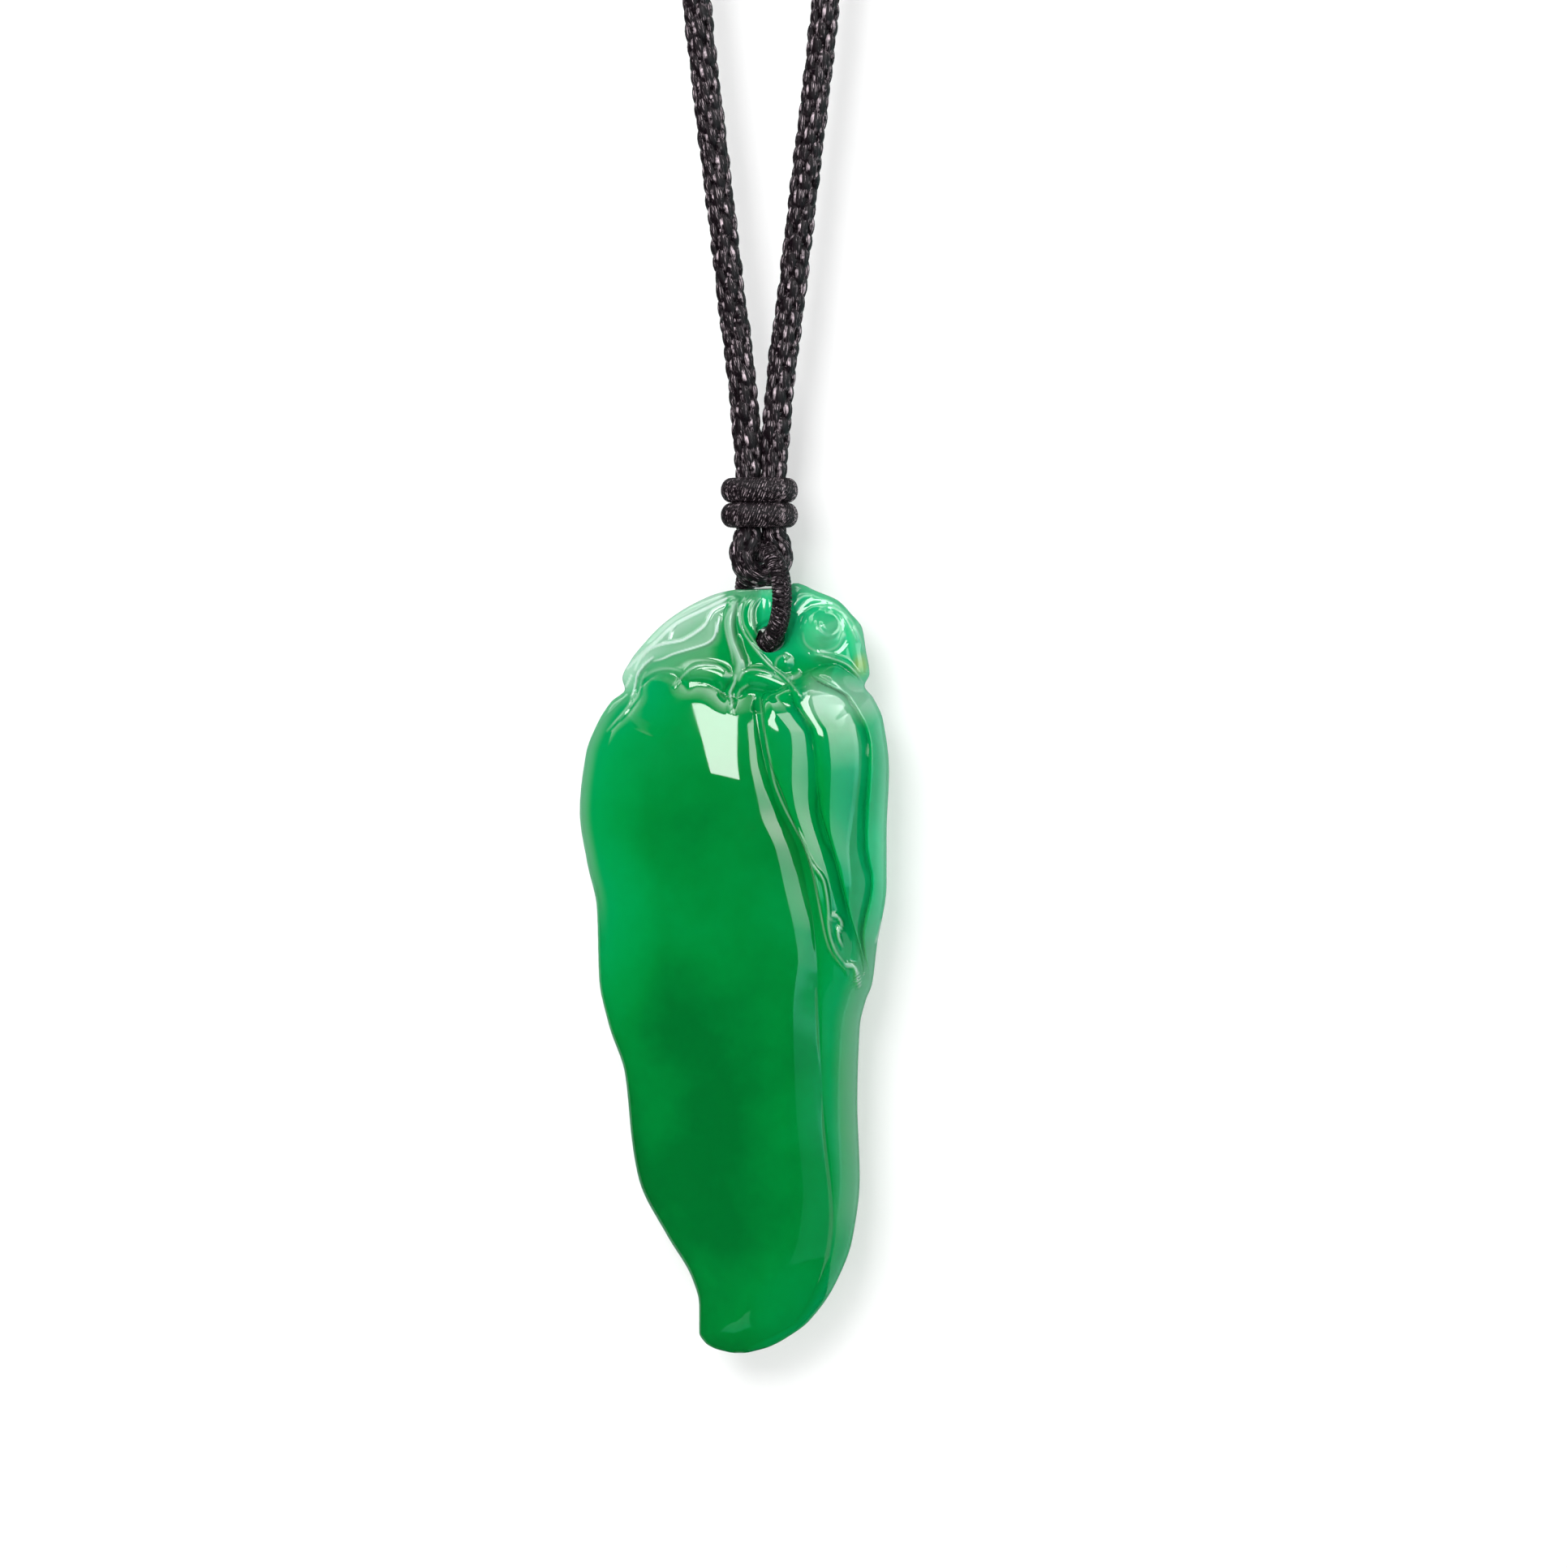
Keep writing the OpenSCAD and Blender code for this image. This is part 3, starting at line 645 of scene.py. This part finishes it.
def backdrop():
    """Pale card close behind the stone, for its soft shadow. It lets all through from behind."""
    s = paper("backdrop_paper", 0.58, 0.9, 0.42)
    behind, clear = s.node("NewGeometry"), s.node("BsdfTransparent")
    both = s.node("MixShader", {
        0: behind.outputs["Backfacing"], 1: s.surface.outputs[0], 2: clear.outputs[0]})
    s.link(both.outputs[0], s.out, "Surface")
    left, right, low, high, y = BACKDROP
    corners = [(left, y, high), (left, y, low), (right, y, low), (right, y, high)]
    card("backdrop", corners, s.material).visible_shadow = False


def floor():
    """Pale floor below the necklace."""
    left, right, front, back, z = FLOOR
    corners = [(left, front, z), (right, front, z), (right, back, z), (left, back, z)]
    card("floor", corners, paper("floor_paper", 0.6, 0.85, 0.3).material)


def world():
    """White to the camera, soft light for the shading, and a dark room for the reflections."""
    made = bpy.data.worlds.new("studio")
    nodes = Nodes(made)
    ray = nodes.node("LightPath")
    result = nodes.node("Background", {"Color": grey(1), "Strength": 0.45}).outputs[0]
    for strength, test in ((0.01, "Is Glossy Ray"), (1, "Is Camera Ray")):
        light = nodes.node("Background", {"Color": grey(1), "Strength": strength})
        both = nodes.node("MixShader", {0: ray.outputs[test], 1: result, 2: light.outputs[0]})
        result = both.outputs[0]
    nodes.node("OutputWorld", {"Surface": result})
    bpy.context.scene.world = made
    bpy.context.scene.view_settings.view_transform = "Standard"


def lights():
    """Three lights for the shading, then those that the stone and the threads reflect."""
    softbox("key", (-22, 24), 480, (240, 240), 10.5, shine=False)
    softbox("back_left", (-145, 25), 440, (220, 220), 3.5, shine=False)
    softbox("back_right", (135, 12), 410, (120, 260), 3.5, shine=False)
    softbox("window", (12, 33.5), 330, (116, 195), 12, shade=False)
    softbox("right", (56, 5), 380, (320, 560), 6, shade=False, fade=[
        (0.385, (0.01, 0.05, 0.05)), (0.41, (0.02, 0.11, 0.11)), (0.423, (0.065, 0.27, 0.27)),
        (0.47, (0.11, 0.33, 0.31)), (0.72, grey(0.9))])
    softbox("side", (108, 0), 380, (520, 520), 0.75, shade=False, fade=[
        (0.6, (0.6, 1, 0.95)), (1, grey(1))])
    softbox("top", (-10, 70), 330, (900, 170), 5, shade=False, fade=[
        (0, grey(0)), (0.5, grey(0.3)), (0.95, grey(1))])
    softbox("behind", (180, 0), 600, (900, 900), 0.35, colour=(0.6, 1, 0.85), shade=False)
    softbox("low", (-15, -62), 300, (180, 120), 1, shade=False, fade=[
        (0, (0.1, 0.9, 0.6)), (1, (0.3, 0.9, 0.7))])


# The stone

def step(v, start, end):
    """Smooth step from 0 at start to 1 at end."""
    u = np.clip((v - start) / (end - start), 0, 1)
    return u * u * (3 - 2 * u)


def hill(gap, width):
    """Smooth hill from 1 at a line to 0 at width away."""
    return np.clip(1 - (gap / width) ** 2, 0, 1) ** 2


def rounding(gap, width):
    """Quarter round from 0 at an edge to 1 at width away."""
    u = np.clip(gap / width, 0, 1)
    return np.sqrt(u * (2 - u))


def taper(along, share):
    """Thins a line out over a share of its length at both ends."""
    return np.sqrt(np.clip(np.minimum(along, 1 - along) / share, 0, 1))


def curve(rows, z):
    """Smooth curve through a table of (height, value) by falling height, that never overshoots."""
    high, value = np.array(rows, float).T
    drop = np.diff(high)
    rate = np.diff(value) / drop
    product = rate[:-1] * rate[1:]
    total = np.where(product > 0, rate[:-1] + rate[1:], 1)
    slope = np.concatenate([[0], np.where(product > 0, 2 * product / total, 0), [0]])
    i = np.clip(np.searchsorted(-high, -np.asarray(z, float)) - 1, 0, len(high) - 2)
    u = np.clip((z - high[i]) / drop[i], 0, 1)
    return (value[i] + (value[i + 1] - value[i]) * u * u * (3 - 2 * u)
            + drop[i] * (slope[i] * u * (1 - u) ** 2 - slope[i + 1] * u * u * (1 - u)))


def smooth_line(points, steps=5):
    """Smooth line through the points."""
    p = np.array(points, float)
    p = np.vstack([2 * p[0] - p[1], p, 2 * p[-1] - p[-2]])
    u = np.linspace(0, 1, steps, endpoint=False)[:, None]
    rows = [
        0.5 * (2 * b + (c - a) * u + (2 * a - 5 * b + 4 * c - d) * u ** 2
               + (3 * b - a - 3 * c + d) * u ** 3)
        for a, b, c, d in zip(p, p[1:], p[2:], p[3:])
    ]
    return np.vstack([*rows, p[-2:-1]])


def nearest(line, x, z):
    """For every point: its distance from the line, its side of it, and its share of the way."""
    gap, side, along = np.full(x.shape, 99.0), np.zeros(x.shape), np.zeros(x.shape)
    run = run_of(line)
    for k, (a, b) in enumerate(zip(line, line[1:])):
        d = b - a
        u = np.clip(((x - a[0]) * d[0] + (z - a[1]) * d[1]) / (d @ d), 0, 1)
        gx, gz = x - a[0] - u * d[0], z - a[1] - u * d[1]
        here = np.hypot(gx, gz)
        closer = here < gap
        gap[closer] = here[closer]
        side[closer] = np.sign(d[0] * gz - d[1] * gx)[closer]
        along[closer] = ((run[k] + u * (run[k + 1] - run[k])) / run[-1])[closer]
    return gap, side, along


def close_to(line, reach, x, z):
    """Which points lie in the line's own box or within reach of it."""
    low, high = line.min(0) - reach, line.max(0) + reach
    return (x > low[0]) & (x < high[0]) & (z > low[1]) & (z < high[1])


def below(line, x, z):
    """How far each point lies below a line that runs from left to right."""
    gap, side, _ = nearest(smooth_line(line), x, z)
    return np.where(side < 0, gap, 0)


def ridge(points, half, x, z):
    """Smooth ridge of height 1 along a line of points, that thins out at its ends."""
    height = np.zeros(x.shape)
    line = smooth_line(points)
    near = close_to(line, half, x, z)
    gap, _, along = nearest(line, x[near], z[near])
    height[near] = hill(gap, half) * taper(along, RIDGE_TAPER)
    return height


def lobe(x, left, right):
    """Cross-section of one lobe: it rises steeply at its left edge and falls away to the right."""
    u = np.clip((x - left) / (right - left), 0, 1)
    return rounding(u, LOBE_EDGE) * (1 - u ** 1.5)


def ground(x, z):
    """The main carved forms of the front, as a share of its height."""
    groove, bean = curve(VALLEY_POD, z), curve(VALLEY_BEAN, z)
    inner, outer = curve(VALLEY_INNER, z), curve(VALLEY_OUTER, z)
    right = curve(RIM_RIGHT, z) + LOBE_PAST_RIM
    top, rise, fall = curve(TOP_RISE, z), curve(POD_RISE, z), curve(POD_FALL, z)
    roll = np.clip((groove - x) / POD_ROLL, 0, 1)
    bend = np.maximum(0, z - SHOULDER_Z) ** 2 / (2 * SHOULDER_R * FRONT_H)
    pod = rise * (1 - fall * (1 - roll) ** 2) - bend
    pod = top + (pod - top) * rounding(below(POD_TOP, x, z), POD_SHOULDER_W)
    strip = np.where(z < CARVED_Z, rise * (1 - fall) - STRIP_STEP - bend, 0)
    share = np.where(x < inner, lobe(x, bean, inner),
                     np.where(x < outer, lobe(x, inner, outer), lobe(x, outer, right)))
    lobes = curve(BEAN_RISE, z) * (1 - LOBE_FALL * (1 - share))
    lobes = top + (lobes - top) * rounding(below(BEAN_TOP, x, z), BEAN_SHOULDER_W)
    end = np.sqrt(np.clip((z - BEAN_END_Z) / BEAN_END_L, 0, 1))
    lobes = np.where(x > bean - VALLEY_EDGE, lobes * end, 0)
    return np.where(x < groove + VALLEY_EDGE, pod, np.maximum.reduce([lobes, strip, top]))


def relief(x, z):
    """The fine carving of the front: lines, grooves and the leaf's edge."""
    total = sum(rise * ridge(points, half, x, z) for half, rise, points in LINES.values())
    line = smooth_line(LEAF_EDGE)
    near = close_to(line, EDGE_FADE, x, z)
    gap, side, along = nearest(line, x[near], z[near])
    lift = step(side * gap, -EDGE_W / 2, EDGE_W / 2) * np.clip(1 - gap / EDGE_FADE, 0, 1) ** 1.5
    total[near] += EDGE_DROP * lift * taper(along, EDGE_TAPER)
    for cx, cz, radius, half, deep in SPIRAL:
        total -= deep * hill(np.abs(np.hypot(x - cx, z - cz) - radius), half)
    return total


def front_height(x, z):
    buds = [rise * hill(np.hypot(x - cx, z - cz), r) for cx, cz, r, rise in BUDS]
    folds = [rise * ridge(points, half, x, z) for half, rise, points in FOLDS.values()]
    carved = np.maximum.reduce(buds) + np.maximum.reduce(folds)
    main = FRONT_H * (1 + FRONT_LEAN * x) * ground(x, z)
    return main + np.where(z > CARVED_Z, carved, 0)


def back_height(x, z):
    sloped = BACK_TOP_H + np.maximum(0, BACK_TOP_Z - z) * BACK_SLOPE
    return np.minimum(BACK_H, sloped) * (1 + BACK_LEAN * x)


def rim_tree(rows):
    """Search tree of close points all round the stone's outline."""
    fine, coarse = 0.01, 0.05
    z = np.concatenate([
        np.arange(rows[0], CROWN_Z, -fine), np.arange(CROWN_Z, rows[-1], -coarse), [rows[-1]]])
    left, right = curve(RIM_LEFT, z), curve(RIM_RIGHT, z)
    ends = [
        np.stack([np.linspace(left[k], right[k], 8), np.full(8, z[k])], 1) for k in (0, -1)]
    flat = np.concatenate([np.stack([left, z], 1), np.stack([right, z], 1), *ends])
    tree = KDTree(len(flat))
    for i, (a, b) in enumerate(flat):
        tree.insert((a, b, 0), i)
    tree.balance()
    return tree


def rim_gap(tree, x, z):
    """How far each point is from the stone's outline."""
    flat = [tree.find((a, b, 0))[2] for a, b in zip(x.ravel(), z.ravel())]
    return np.array(flat).reshape(x.shape)


def stone_columns(z):
    """Sides x of a row's columns: bunched at the rims and led along the valleys."""
    left, right, pod = curve(RIM_LEFT, z), curve(RIM_RIGHT, z), curve(VALLEY_POD, z)
    held = step(z, -3, -6)
    past = step(z, -27, -29)
    valleys = [curve(t, z) for t in (VALLEY_BEAN, VALLEY_INNER, VALLEY_OUTER)]
    even = [pod + (right - pod) * k / 4 for k in (1, 2, 3)]
    led = [left, pod, *[v * (1 - past) + e * past for v, e in zip(valleys, even)], right]
    edge = [n * held + (left + (right - left) * s) * (1 - held) for n, s in zip(led, SPAN_SHARE)]
    columns = [left]
    for k, count in enumerate(SPAN_COLUMNS):
        u = np.arange(1, count + 1) / count
        bunched = {0: 1 - np.cos(u * math.pi / 2), 4: np.sin(u * math.pi / 2)}.get(k, u)
        wide = edge[k + 1] - edge[k]
        columns += [edge[k] + wide * (a + (b - a) * held) for a, b in zip(u, bunched)]
    return np.stack(columns, 1)


def front_points(x, z, tree):
    """The points of the front: the main forms and the fine carving, rounded off at the rim."""
    gap = rim_gap(tree, x, z)
    gap[:, (0, -1)] = 0
    gap[(0, -1), :] = 0
    # the mouth of the hole is rounded over
    bore_x = (x - RING_X) * math.cos(RING_TURN) - MOUTH_Y * math.sin(RING_TURN)
    past_bore = np.hypot(bore_x, z - MOUTH_Z) - BORE_R
    mouth = MOUTH_DEEP * np.clip(1 - past_bore / MOUTH_W, 0, 1) ** 2
    right_w = BEAN_RIM_W + (STRIP_RIM_W - BEAN_RIM_W) * step(z, -20, -30)
    rim_w = RIM_W + (right_w - RIM_W) * step(x, -2, 4) * step(z, -3, -7)
    height = front_height(x, z) * rounding(gap, rim_w) + relief(x, z) * rounding(gap, RELIEF_RIM_W)
    return np.stack([x, np.minimum(mouth - height, 0), z], 2)


def back_points(left, right, rows, tree):
    """The points of the smooth, gently domed back, closer together at the rim."""
    turn = np.arange(1, BACK_COLUMNS) * math.pi / BACK_COLUMNS
    x = (left + right) / 2 + (right - left) / 2 * np.cos(turn)[None]
    z = np.repeat(rows[:, None], x.shape[1], 1)
    y = back_height(x, z) * rounding(rim_gap(tree, x, z), BACK_RIM_W)
    return np.stack([x, y, z], 2)


def jade_pendant():
    """The stone: rows of points round its front and back, from its top to its tip."""
    runs = [np.arange(high, low, -by) for high, low, by in ROW_RUNS]
    rows = np.concatenate([TOP_ROWS, *runs, TIP_ROWS])
    tree = rim_tree(rows)
    x = stone_columns(rows)
    z = np.repeat(rows[:, None], x.shape[1], 1)
    back = back_points(x[:, :1], x[:, -1:], rows, tree)
    rings = np.concatenate([front_points(x, z, tree), back], 1)
    count, n = rings.shape[:2]
    i, k = (a.ravel() for a in np.meshgrid(np.arange(count - 1), np.arange(n), indexing="ij"))
    j = (k + 1) % n
    faces = np.stack([i * n + k, (i + 1) * n + k, (i + 1) * n + j, i * n + j], 1).tolist()
    faces += [list(range(n)), list(range((count - 1) * n, count * n))[::-1]]
    made = piece("jade_pendant_carved", rings.reshape(-1, 3), faces, jade(), "pendant",
                 "jade_pendant")
    bore(made)
    tones(made, tree)


def bore(stone):
    """Drills the hole that the ring passes through, curved as the ring is."""
    skin = Skin()
    c, s = circle(120)
    out = np.stack([0 * c, c, s], 1)[:-1]
    skin.tube(out * RING_R, out, BORE_R, BORE_R, 40, closed=True)
    drill = add("drill", mesh_of("drill", ring_place(skin.points[0]), skin.faces))
    cut = stone.modifiers.new("bore", "BOOLEAN")
    cut.operation = "DIFFERENCE"
    cut.solver = "EXACT"
    cut.object = drill
    graph = bpy.context.evaluated_depsgraph_get()
    done = bpy.data.meshes.new_from_object(stone.evaluated_get(graph))
    stone.modifiers.clear()
    stone.data = done
    bpy.data.objects.remove(drill)


def depth_and_painted_light_tone(x, z, gap, to_right):
    """How deep a green the jade is coloured, from 0 to 1: deeper where it is thick and darker
    towards the bottom, with painted shade at the lower left and painted light on the thin forms
    right of the pod.
    """
    depth = 0.75 * np.clip(gap / 5.5, 0, 1) * (0.35 + 0.65 * step(z, -2, -18))
    depth += (0.75 - depth) * 0.8 * step(z, -14, -40)
    # painted shade: darker at the lower left, against the key light that brightens that side
    depth += 0.25 * step(z, -22, -36) * step(x, 2, -4)
    # painted light: the thin forms right of the pod, above all their slopes that face right, are
    # coloured paler, standing in for light that comes through them and for the key light's shade on
    # those slopes
    painted_light_side = np.maximum(step(to_right, 0, 0.45), step(z, -2.5, -1))
    glow = step(x - curve(VALLEY_POD, z), 0, 0.8) * painted_light_side
    return 0.25 + 0.75 * depth - 0.25 * glow


def pale_and_painted_highlight_tone(x, z, gap, front):
    """How far the jade is coloured pale, from 0 to 1: on the leaf, the snail and other carved
    places, paler near the rim, and as painted highlights along the raised lines.
    """
    away, way, _ = nearest(smooth_line(LEAF_EDGE), x, z)
    leaf = step(way * away, -0.8, 0.6) * step(x, -2.6, -3.4) * step(z, -5.5, -2.5)
    leaf *= 0.34 + 0.36 * hill(gap, 2) + 0.1 * hill(away, 0.8)
    under = 0.14 * step(x, -3.4, -4.6) * step(z, -3.6, -2.1)
    crown = 0.4 * step(x, 3.2, 4.4) * hill(z + 4.8, 2.6)
    shell = 0.15 * ridge(FOLDS["shell"][2], 1.1, x, z)
    side = 0.2 * hill(gap, 2.4) * step(x, 4, 6) * step(z, -20, -28) * step(z, -50, -46)
    wedge = 0.45 * ridge(FOLDS["stem"][2], 0.5, x, z)
    snail = 0.15 * hill(np.hypot(x - 5.3, z - 0.2), 2.6)
    rim = 0.2 * hill(gap, 1.1) * step(z, -25, -17)
    pale = np.maximum.reduce([leaf, under, crown, shell, side, rim, wedge, snail])
    # painted highlights: the raised lines are coloured pale along their crests, most of all on the
    # leaf
    painted_crest_highlights = sum(2 * rise * ridge(points, 0.5 * half, x, z)
                for half, rise, points in LINES.values() if rise > 0)
    return np.clip(pale + np.where(front, painted_crest_highlights * (1 + 3 * (leaf > 0.1)), 0), 0, 1)


def tones(stone, tree):
    """Writes on the stone's points how deep, pale and olive the jade is coloured there, painted
    light, shade and highlights included.
    """
    points, facing = (np.zeros(len(stone.data.vertices) * 3, np.float32) for _ in range(2))
    stone.data.vertices.foreach_get("co", points)
    stone.data.vertices.foreach_get("normal", facing)
    x, y, z = (points.reshape(-1, 3) / MM - HOLE).T
    gap = rim_gap(tree, x, z)
    stain_x, stain_z = STAIN
    olive = 0.8 * hill(np.hypot((x - stain_x) / 0.7, z - stain_z), STAIN_R)
    tone = {"depth": depth_and_painted_light_tone(x, z, gap, facing[::3]), "pale": pale_and_painted_highlight_tone(x, z, gap, y < 0),
            "olive": olive}
    for name, values in tone.items():
        layer = stone.data.attributes.new(name, "FLOAT", "POINT")
        layer.data.foreach_set("value", values.astype(np.float32))


# The cord

def route():
    """The cord's line from the nape down the left, through the fold and up to the nape again, with
    its way ahead, its depth direction, its width and depth, and its run from the fold."""
    rows = []
    for side, order in ((-1, STRAND[:0:-1]), (1, STRAND)):
        for x, y, z, wide, deep in order:
            a = RING_TURN * (1 - step(z, TURN_LOW, TURN_HIGH))
            c, s = math.cos(a), math.sin(a)
            rows.append((side * x * c - y * s, side * x * s + y * c, z, wide, deep, a))
    line = smooth_line(rows, 24)
    run = run_of(line[:, :3])
    middle = run[len(run) // 2]
    near = np.arange(-SHOWN, SHOWN, NEAR_STEP)
    far = np.arange(SHOWN, middle, FAR_STEP)
    places = middle + np.concatenate([-far[::-1], near, far])
    places = places[(places > run[0]) & (places < run[-1])]
    line = resample(line, run, places)
    path, wide, deep, turn = line[:, :3], line[:, 3], line[:, 4], line[:, 5]
    ahead = unit(np.gradient(path, axis=0))
    back = np.stack([-np.sin(turn), np.cos(turn), np.zeros(len(turn))], 1)
    # higher up the depth direction is carried along the line, so that it never twists
    centre = int(np.argmin(np.abs(places - middle)))
    for order, before in ((range(centre + 1, len(path)), -1), (range(centre - 1, -1, -1), 1)):
        for i in order:
            if path[i, 2] > CARRIED_Z:
                back[i] = back[i + before]
            back[i] -= (back[i] @ ahead[i]) * ahead[i]
            back[i] /= np.linalg.norm(back[i])
    return path, ahead, back, wide, deep, places - middle


def neck_cord():
    """Round braid: short bundles of filaments, laid along the cord, that rise and dive under one
    another in spiral rows round a core."""
    path, ahead, back, wide, deep, run = route()
    sizes = np.stack([wide, deep], 1)
    table = np.concatenate([path, back, np.cross(ahead, back), sizes], 1)
    chance = np.random.default_rng(5)
    skin = Skin()
    skin.tube(path, back, wide * CORE_SHARE, deep * CORE_SHARE, 8)
    for row in range(BRAID_ROWS):
        first = run[0] + BRAID_END + row * BUNDLE_STEP / BRAID_ROWS
        for centre in np.arange(first, run[-1] - BRAID_END, BUNDLE_STEP):
            near = abs(centre) < SHOWN
            # from the low, narrow end of the bundle to its high, round one
            u = np.linspace(-1, 1, 10 if near else 4)
            long, fat, tilt, shift = chance.uniform(-1, 1, 4)
            place = centre + math.copysign(BUNDLE_L / 2, centre) * u * (1 + 0.12 * long)
            at = resample(table, run, place)
            middle, b, l, w, d = np.split(at, (3, 6, 9, 10), axis=1)
            angle = (math.tau * (row / BRAID_ROWS + centre / BRAID_LEAD)
                     + BUNDLE_LEAN * (place - centre) * (1 + 0.5 * tilt) + 0.06 * shift)
            r = 0.96 - 0.45 * np.clip(0.25 - u, 0, 2) ** 2 - 0.35 * np.clip(u - 0.25, 0, 1) ** 2
            c, s = np.cos(angle)[:, None], np.sin(angle)[:, None]
            line = middle + (b * c * d + l * s * w) * (r / CORD_D)[:, None]
            thin = np.sqrt(np.clip(1.02 - u * u, 0, 1)) * (1 + 0.2 * u) * (1 + 0.12 * fat)
            skin.tube(line, b * c + l * s, BUNDLE_W * thin, BUNDLE_H * thin, 7 if near else 4)
    # painted highlight colour of the cord's streaks, on the upper end of each bundle
    material = thread("cord_thread", (0.75, 0.62, 0.68), 24, 0, 1600, painted_light_from=(0.7, 1.7))
    skin.piece("neck_cord_braid", material, "braided_cord", "neck_cord")


# Whipping

def whip(skin, core, out, up, deep, high, turns, starts, thread_d, steps):
    """Winds threads round a core, each with so many turns of so many steps. out and up span the
    core's section, and deep and high are its half sizes."""
    closed = np.allclose(core[0], core[-1])
    share = np.linspace(0, 1, turns * steps, endpoint=not closed)
    at, place = share * (len(core) - 1), np.arange(len(core))
    middle, o, u = (resample(v, place, at) for v in (core, out, up))
    o, u = unit(o), unit(u)
    deep, high = (np.interp(at, place, np.broadcast_to(v, len(core))) for v in (deep, high))
    for start in range(starts):
        angle = math.tau * (share * turns + start / starts)
        c, s = np.cos(angle), np.sin(angle)
        normal = o * (c / deep)[:, None] + u * (s / high)[:, None]
        line = (middle + o * (c * (deep - thread_d / 2))[:, None]
                + u * (s * (high - thread_d / 2))[:, None])
        skin.tube(line, normal, thread_d * 0.56, thread_d * 0.5, 6, closed)


def ring_place(points):
    """Turns and moves points from the ring's own middle, round the x axis, to its place."""
    return points @ np.array(Matrix.Rotation(-RING_TURN, 3, "Z")) + (RING_X, 0, RING_Z)


def hanging_ring():
    """Ring whipped with one thread, with a row of small knots along its outer edge."""
    c, s = circle(240)
    out = np.stack([0 * c, c, s], 1)
    axis = np.tile([1.0, 0, 0], (len(c), 1))
    half = RING_WIRE_D / 2
    core = half - RING_SUNK
    skin = Skin()
    skin.tube((out * RING_R)[:-1], out[:-1], core, core, 12, closed=True)
    whip(skin, out * RING_R, out, axis, half, half, turns=74, starts=1, thread_d=0.33, steps=16)
    a = np.linspace(0, math.tau, RING_KNOTS * 8, endpoint=False)
    rim = np.stack([0 * a, np.cos(a), np.sin(a)], 1)
    for phase in (0, math.pi):
        sway = np.stack([0.15 * np.sin(RING_KNOTS * a + phase), 0 * a, 0 * a], 1)
        lift = 0.02 + 0.06 * np.cos(2 * RING_KNOTS * a + phase)
        skin.tube(rim * (RING_R + half + lift)[:, None] + sway, rim, 0.1, 0.1, 6, closed=True)
    points = np.concatenate(skin.points)
    # the fold of the cord presses the ring narrow
    pressed = step(points[:, 2], RING_R - 1.6, RING_R - 0.8) * step(np.abs(points[:, 1]), 2.2, 1.6)
    limit = half + (RING_GRIP_W / 2 - half) * pressed
    points[:, 0] = np.clip(points[:, 0], -limit, limit)
    skin.points = [ring_place(points)]
    # painted highlight colour of the ring's streaks
    material = thread("ring_thread", (0.46, 0.38, 0.42), 9, 0.3, 4000)
    skin.piece("hanging_ring_whipped", material, "whipped_thread", "hanging_ring")


def wrap(name, material):
    """One round of whipped cord about both strands."""
    quarter = np.linspace(-math.pi / 2, math.pi / 2, 40)
    c, s, zero = np.cos(quarter), np.sin(quarter), np.zeros(40)
    right = np.stack([WRAP_RUN / 2 + WRAP_R * c, WRAP_R * s, zero + WRAP_Z[name]], 1)
    turned = np.stack([c, s, zero], 1)
    core = np.vstack([right, right * (-1, -1, 1), right[:1]]) + (WRAP_X, 0, 0)
    out = np.vstack([turned, -turned, turned[:1]])
    run = run_of(core)
    even = np.linspace(0, run[-1], 161)
    core, out = (resample(v, run, even) for v in (core, out))
    up = np.tile([0, 0, 1.0], (len(core), 1))
    deep, high = WRAP_THICK / 2, WRAP_H / 2
    skin = Skin()
    skin.tube(core[:-1], out[:-1], high - WRAP_SUNK, deep - WRAP_SUNK, 14, closed=True)
    whip(skin, core, out, up, deep, high, turns=9, starts=10, thread_d=0.22, steps=16)
    skin.piece(name + "_whipped", material, "whipped_thread", name)


def nape_binding(material):
    """Plain whipped sleeve that joins the cord's ends."""
    middle = np.array([0, 0, BINDING_D / 2]) - HOLE
    u = np.linspace(-1, 1, 61)
    path = middle + np.stack([u * BINDING_L / 2, u * 0, u * 0], 1)
    radius = BINDING_END_R + (BINDING_D / 2 - BINDING_END_R) * (1 - np.abs(u) ** 6) ** 0.5
    out, up = (np.tile(way, (len(u), 1)) for way in ([0, 1.0, 0], [0, 0, 1.0]))
    core = radius - BINDING_SUNK
    skin = Skin()
    skin.tube(path, (0, 0, 1), core, core, 24)
    whip(skin, path, out, up, radius, radius, turns=44, starts=1, thread_d=0.28, steps=20)
    skin.piece("nape_binding_whipped", material, "whipped_thread", "nape_binding")


camera()
neck_cord()
jade_pendant()
hanging_ring()
# painted highlight colour of the streaks on the wraps and the binding
wrap_thread = thread("wrap_thread", (0.95, 0.78, 0.85), 9, 0.1, 4000)
wrap("upper_wrap", wrap_thread)
wrap("lower_wrap", wrap_thread)
nape_binding(wrap_thread)

backdrop()
floor()
world()
lights()
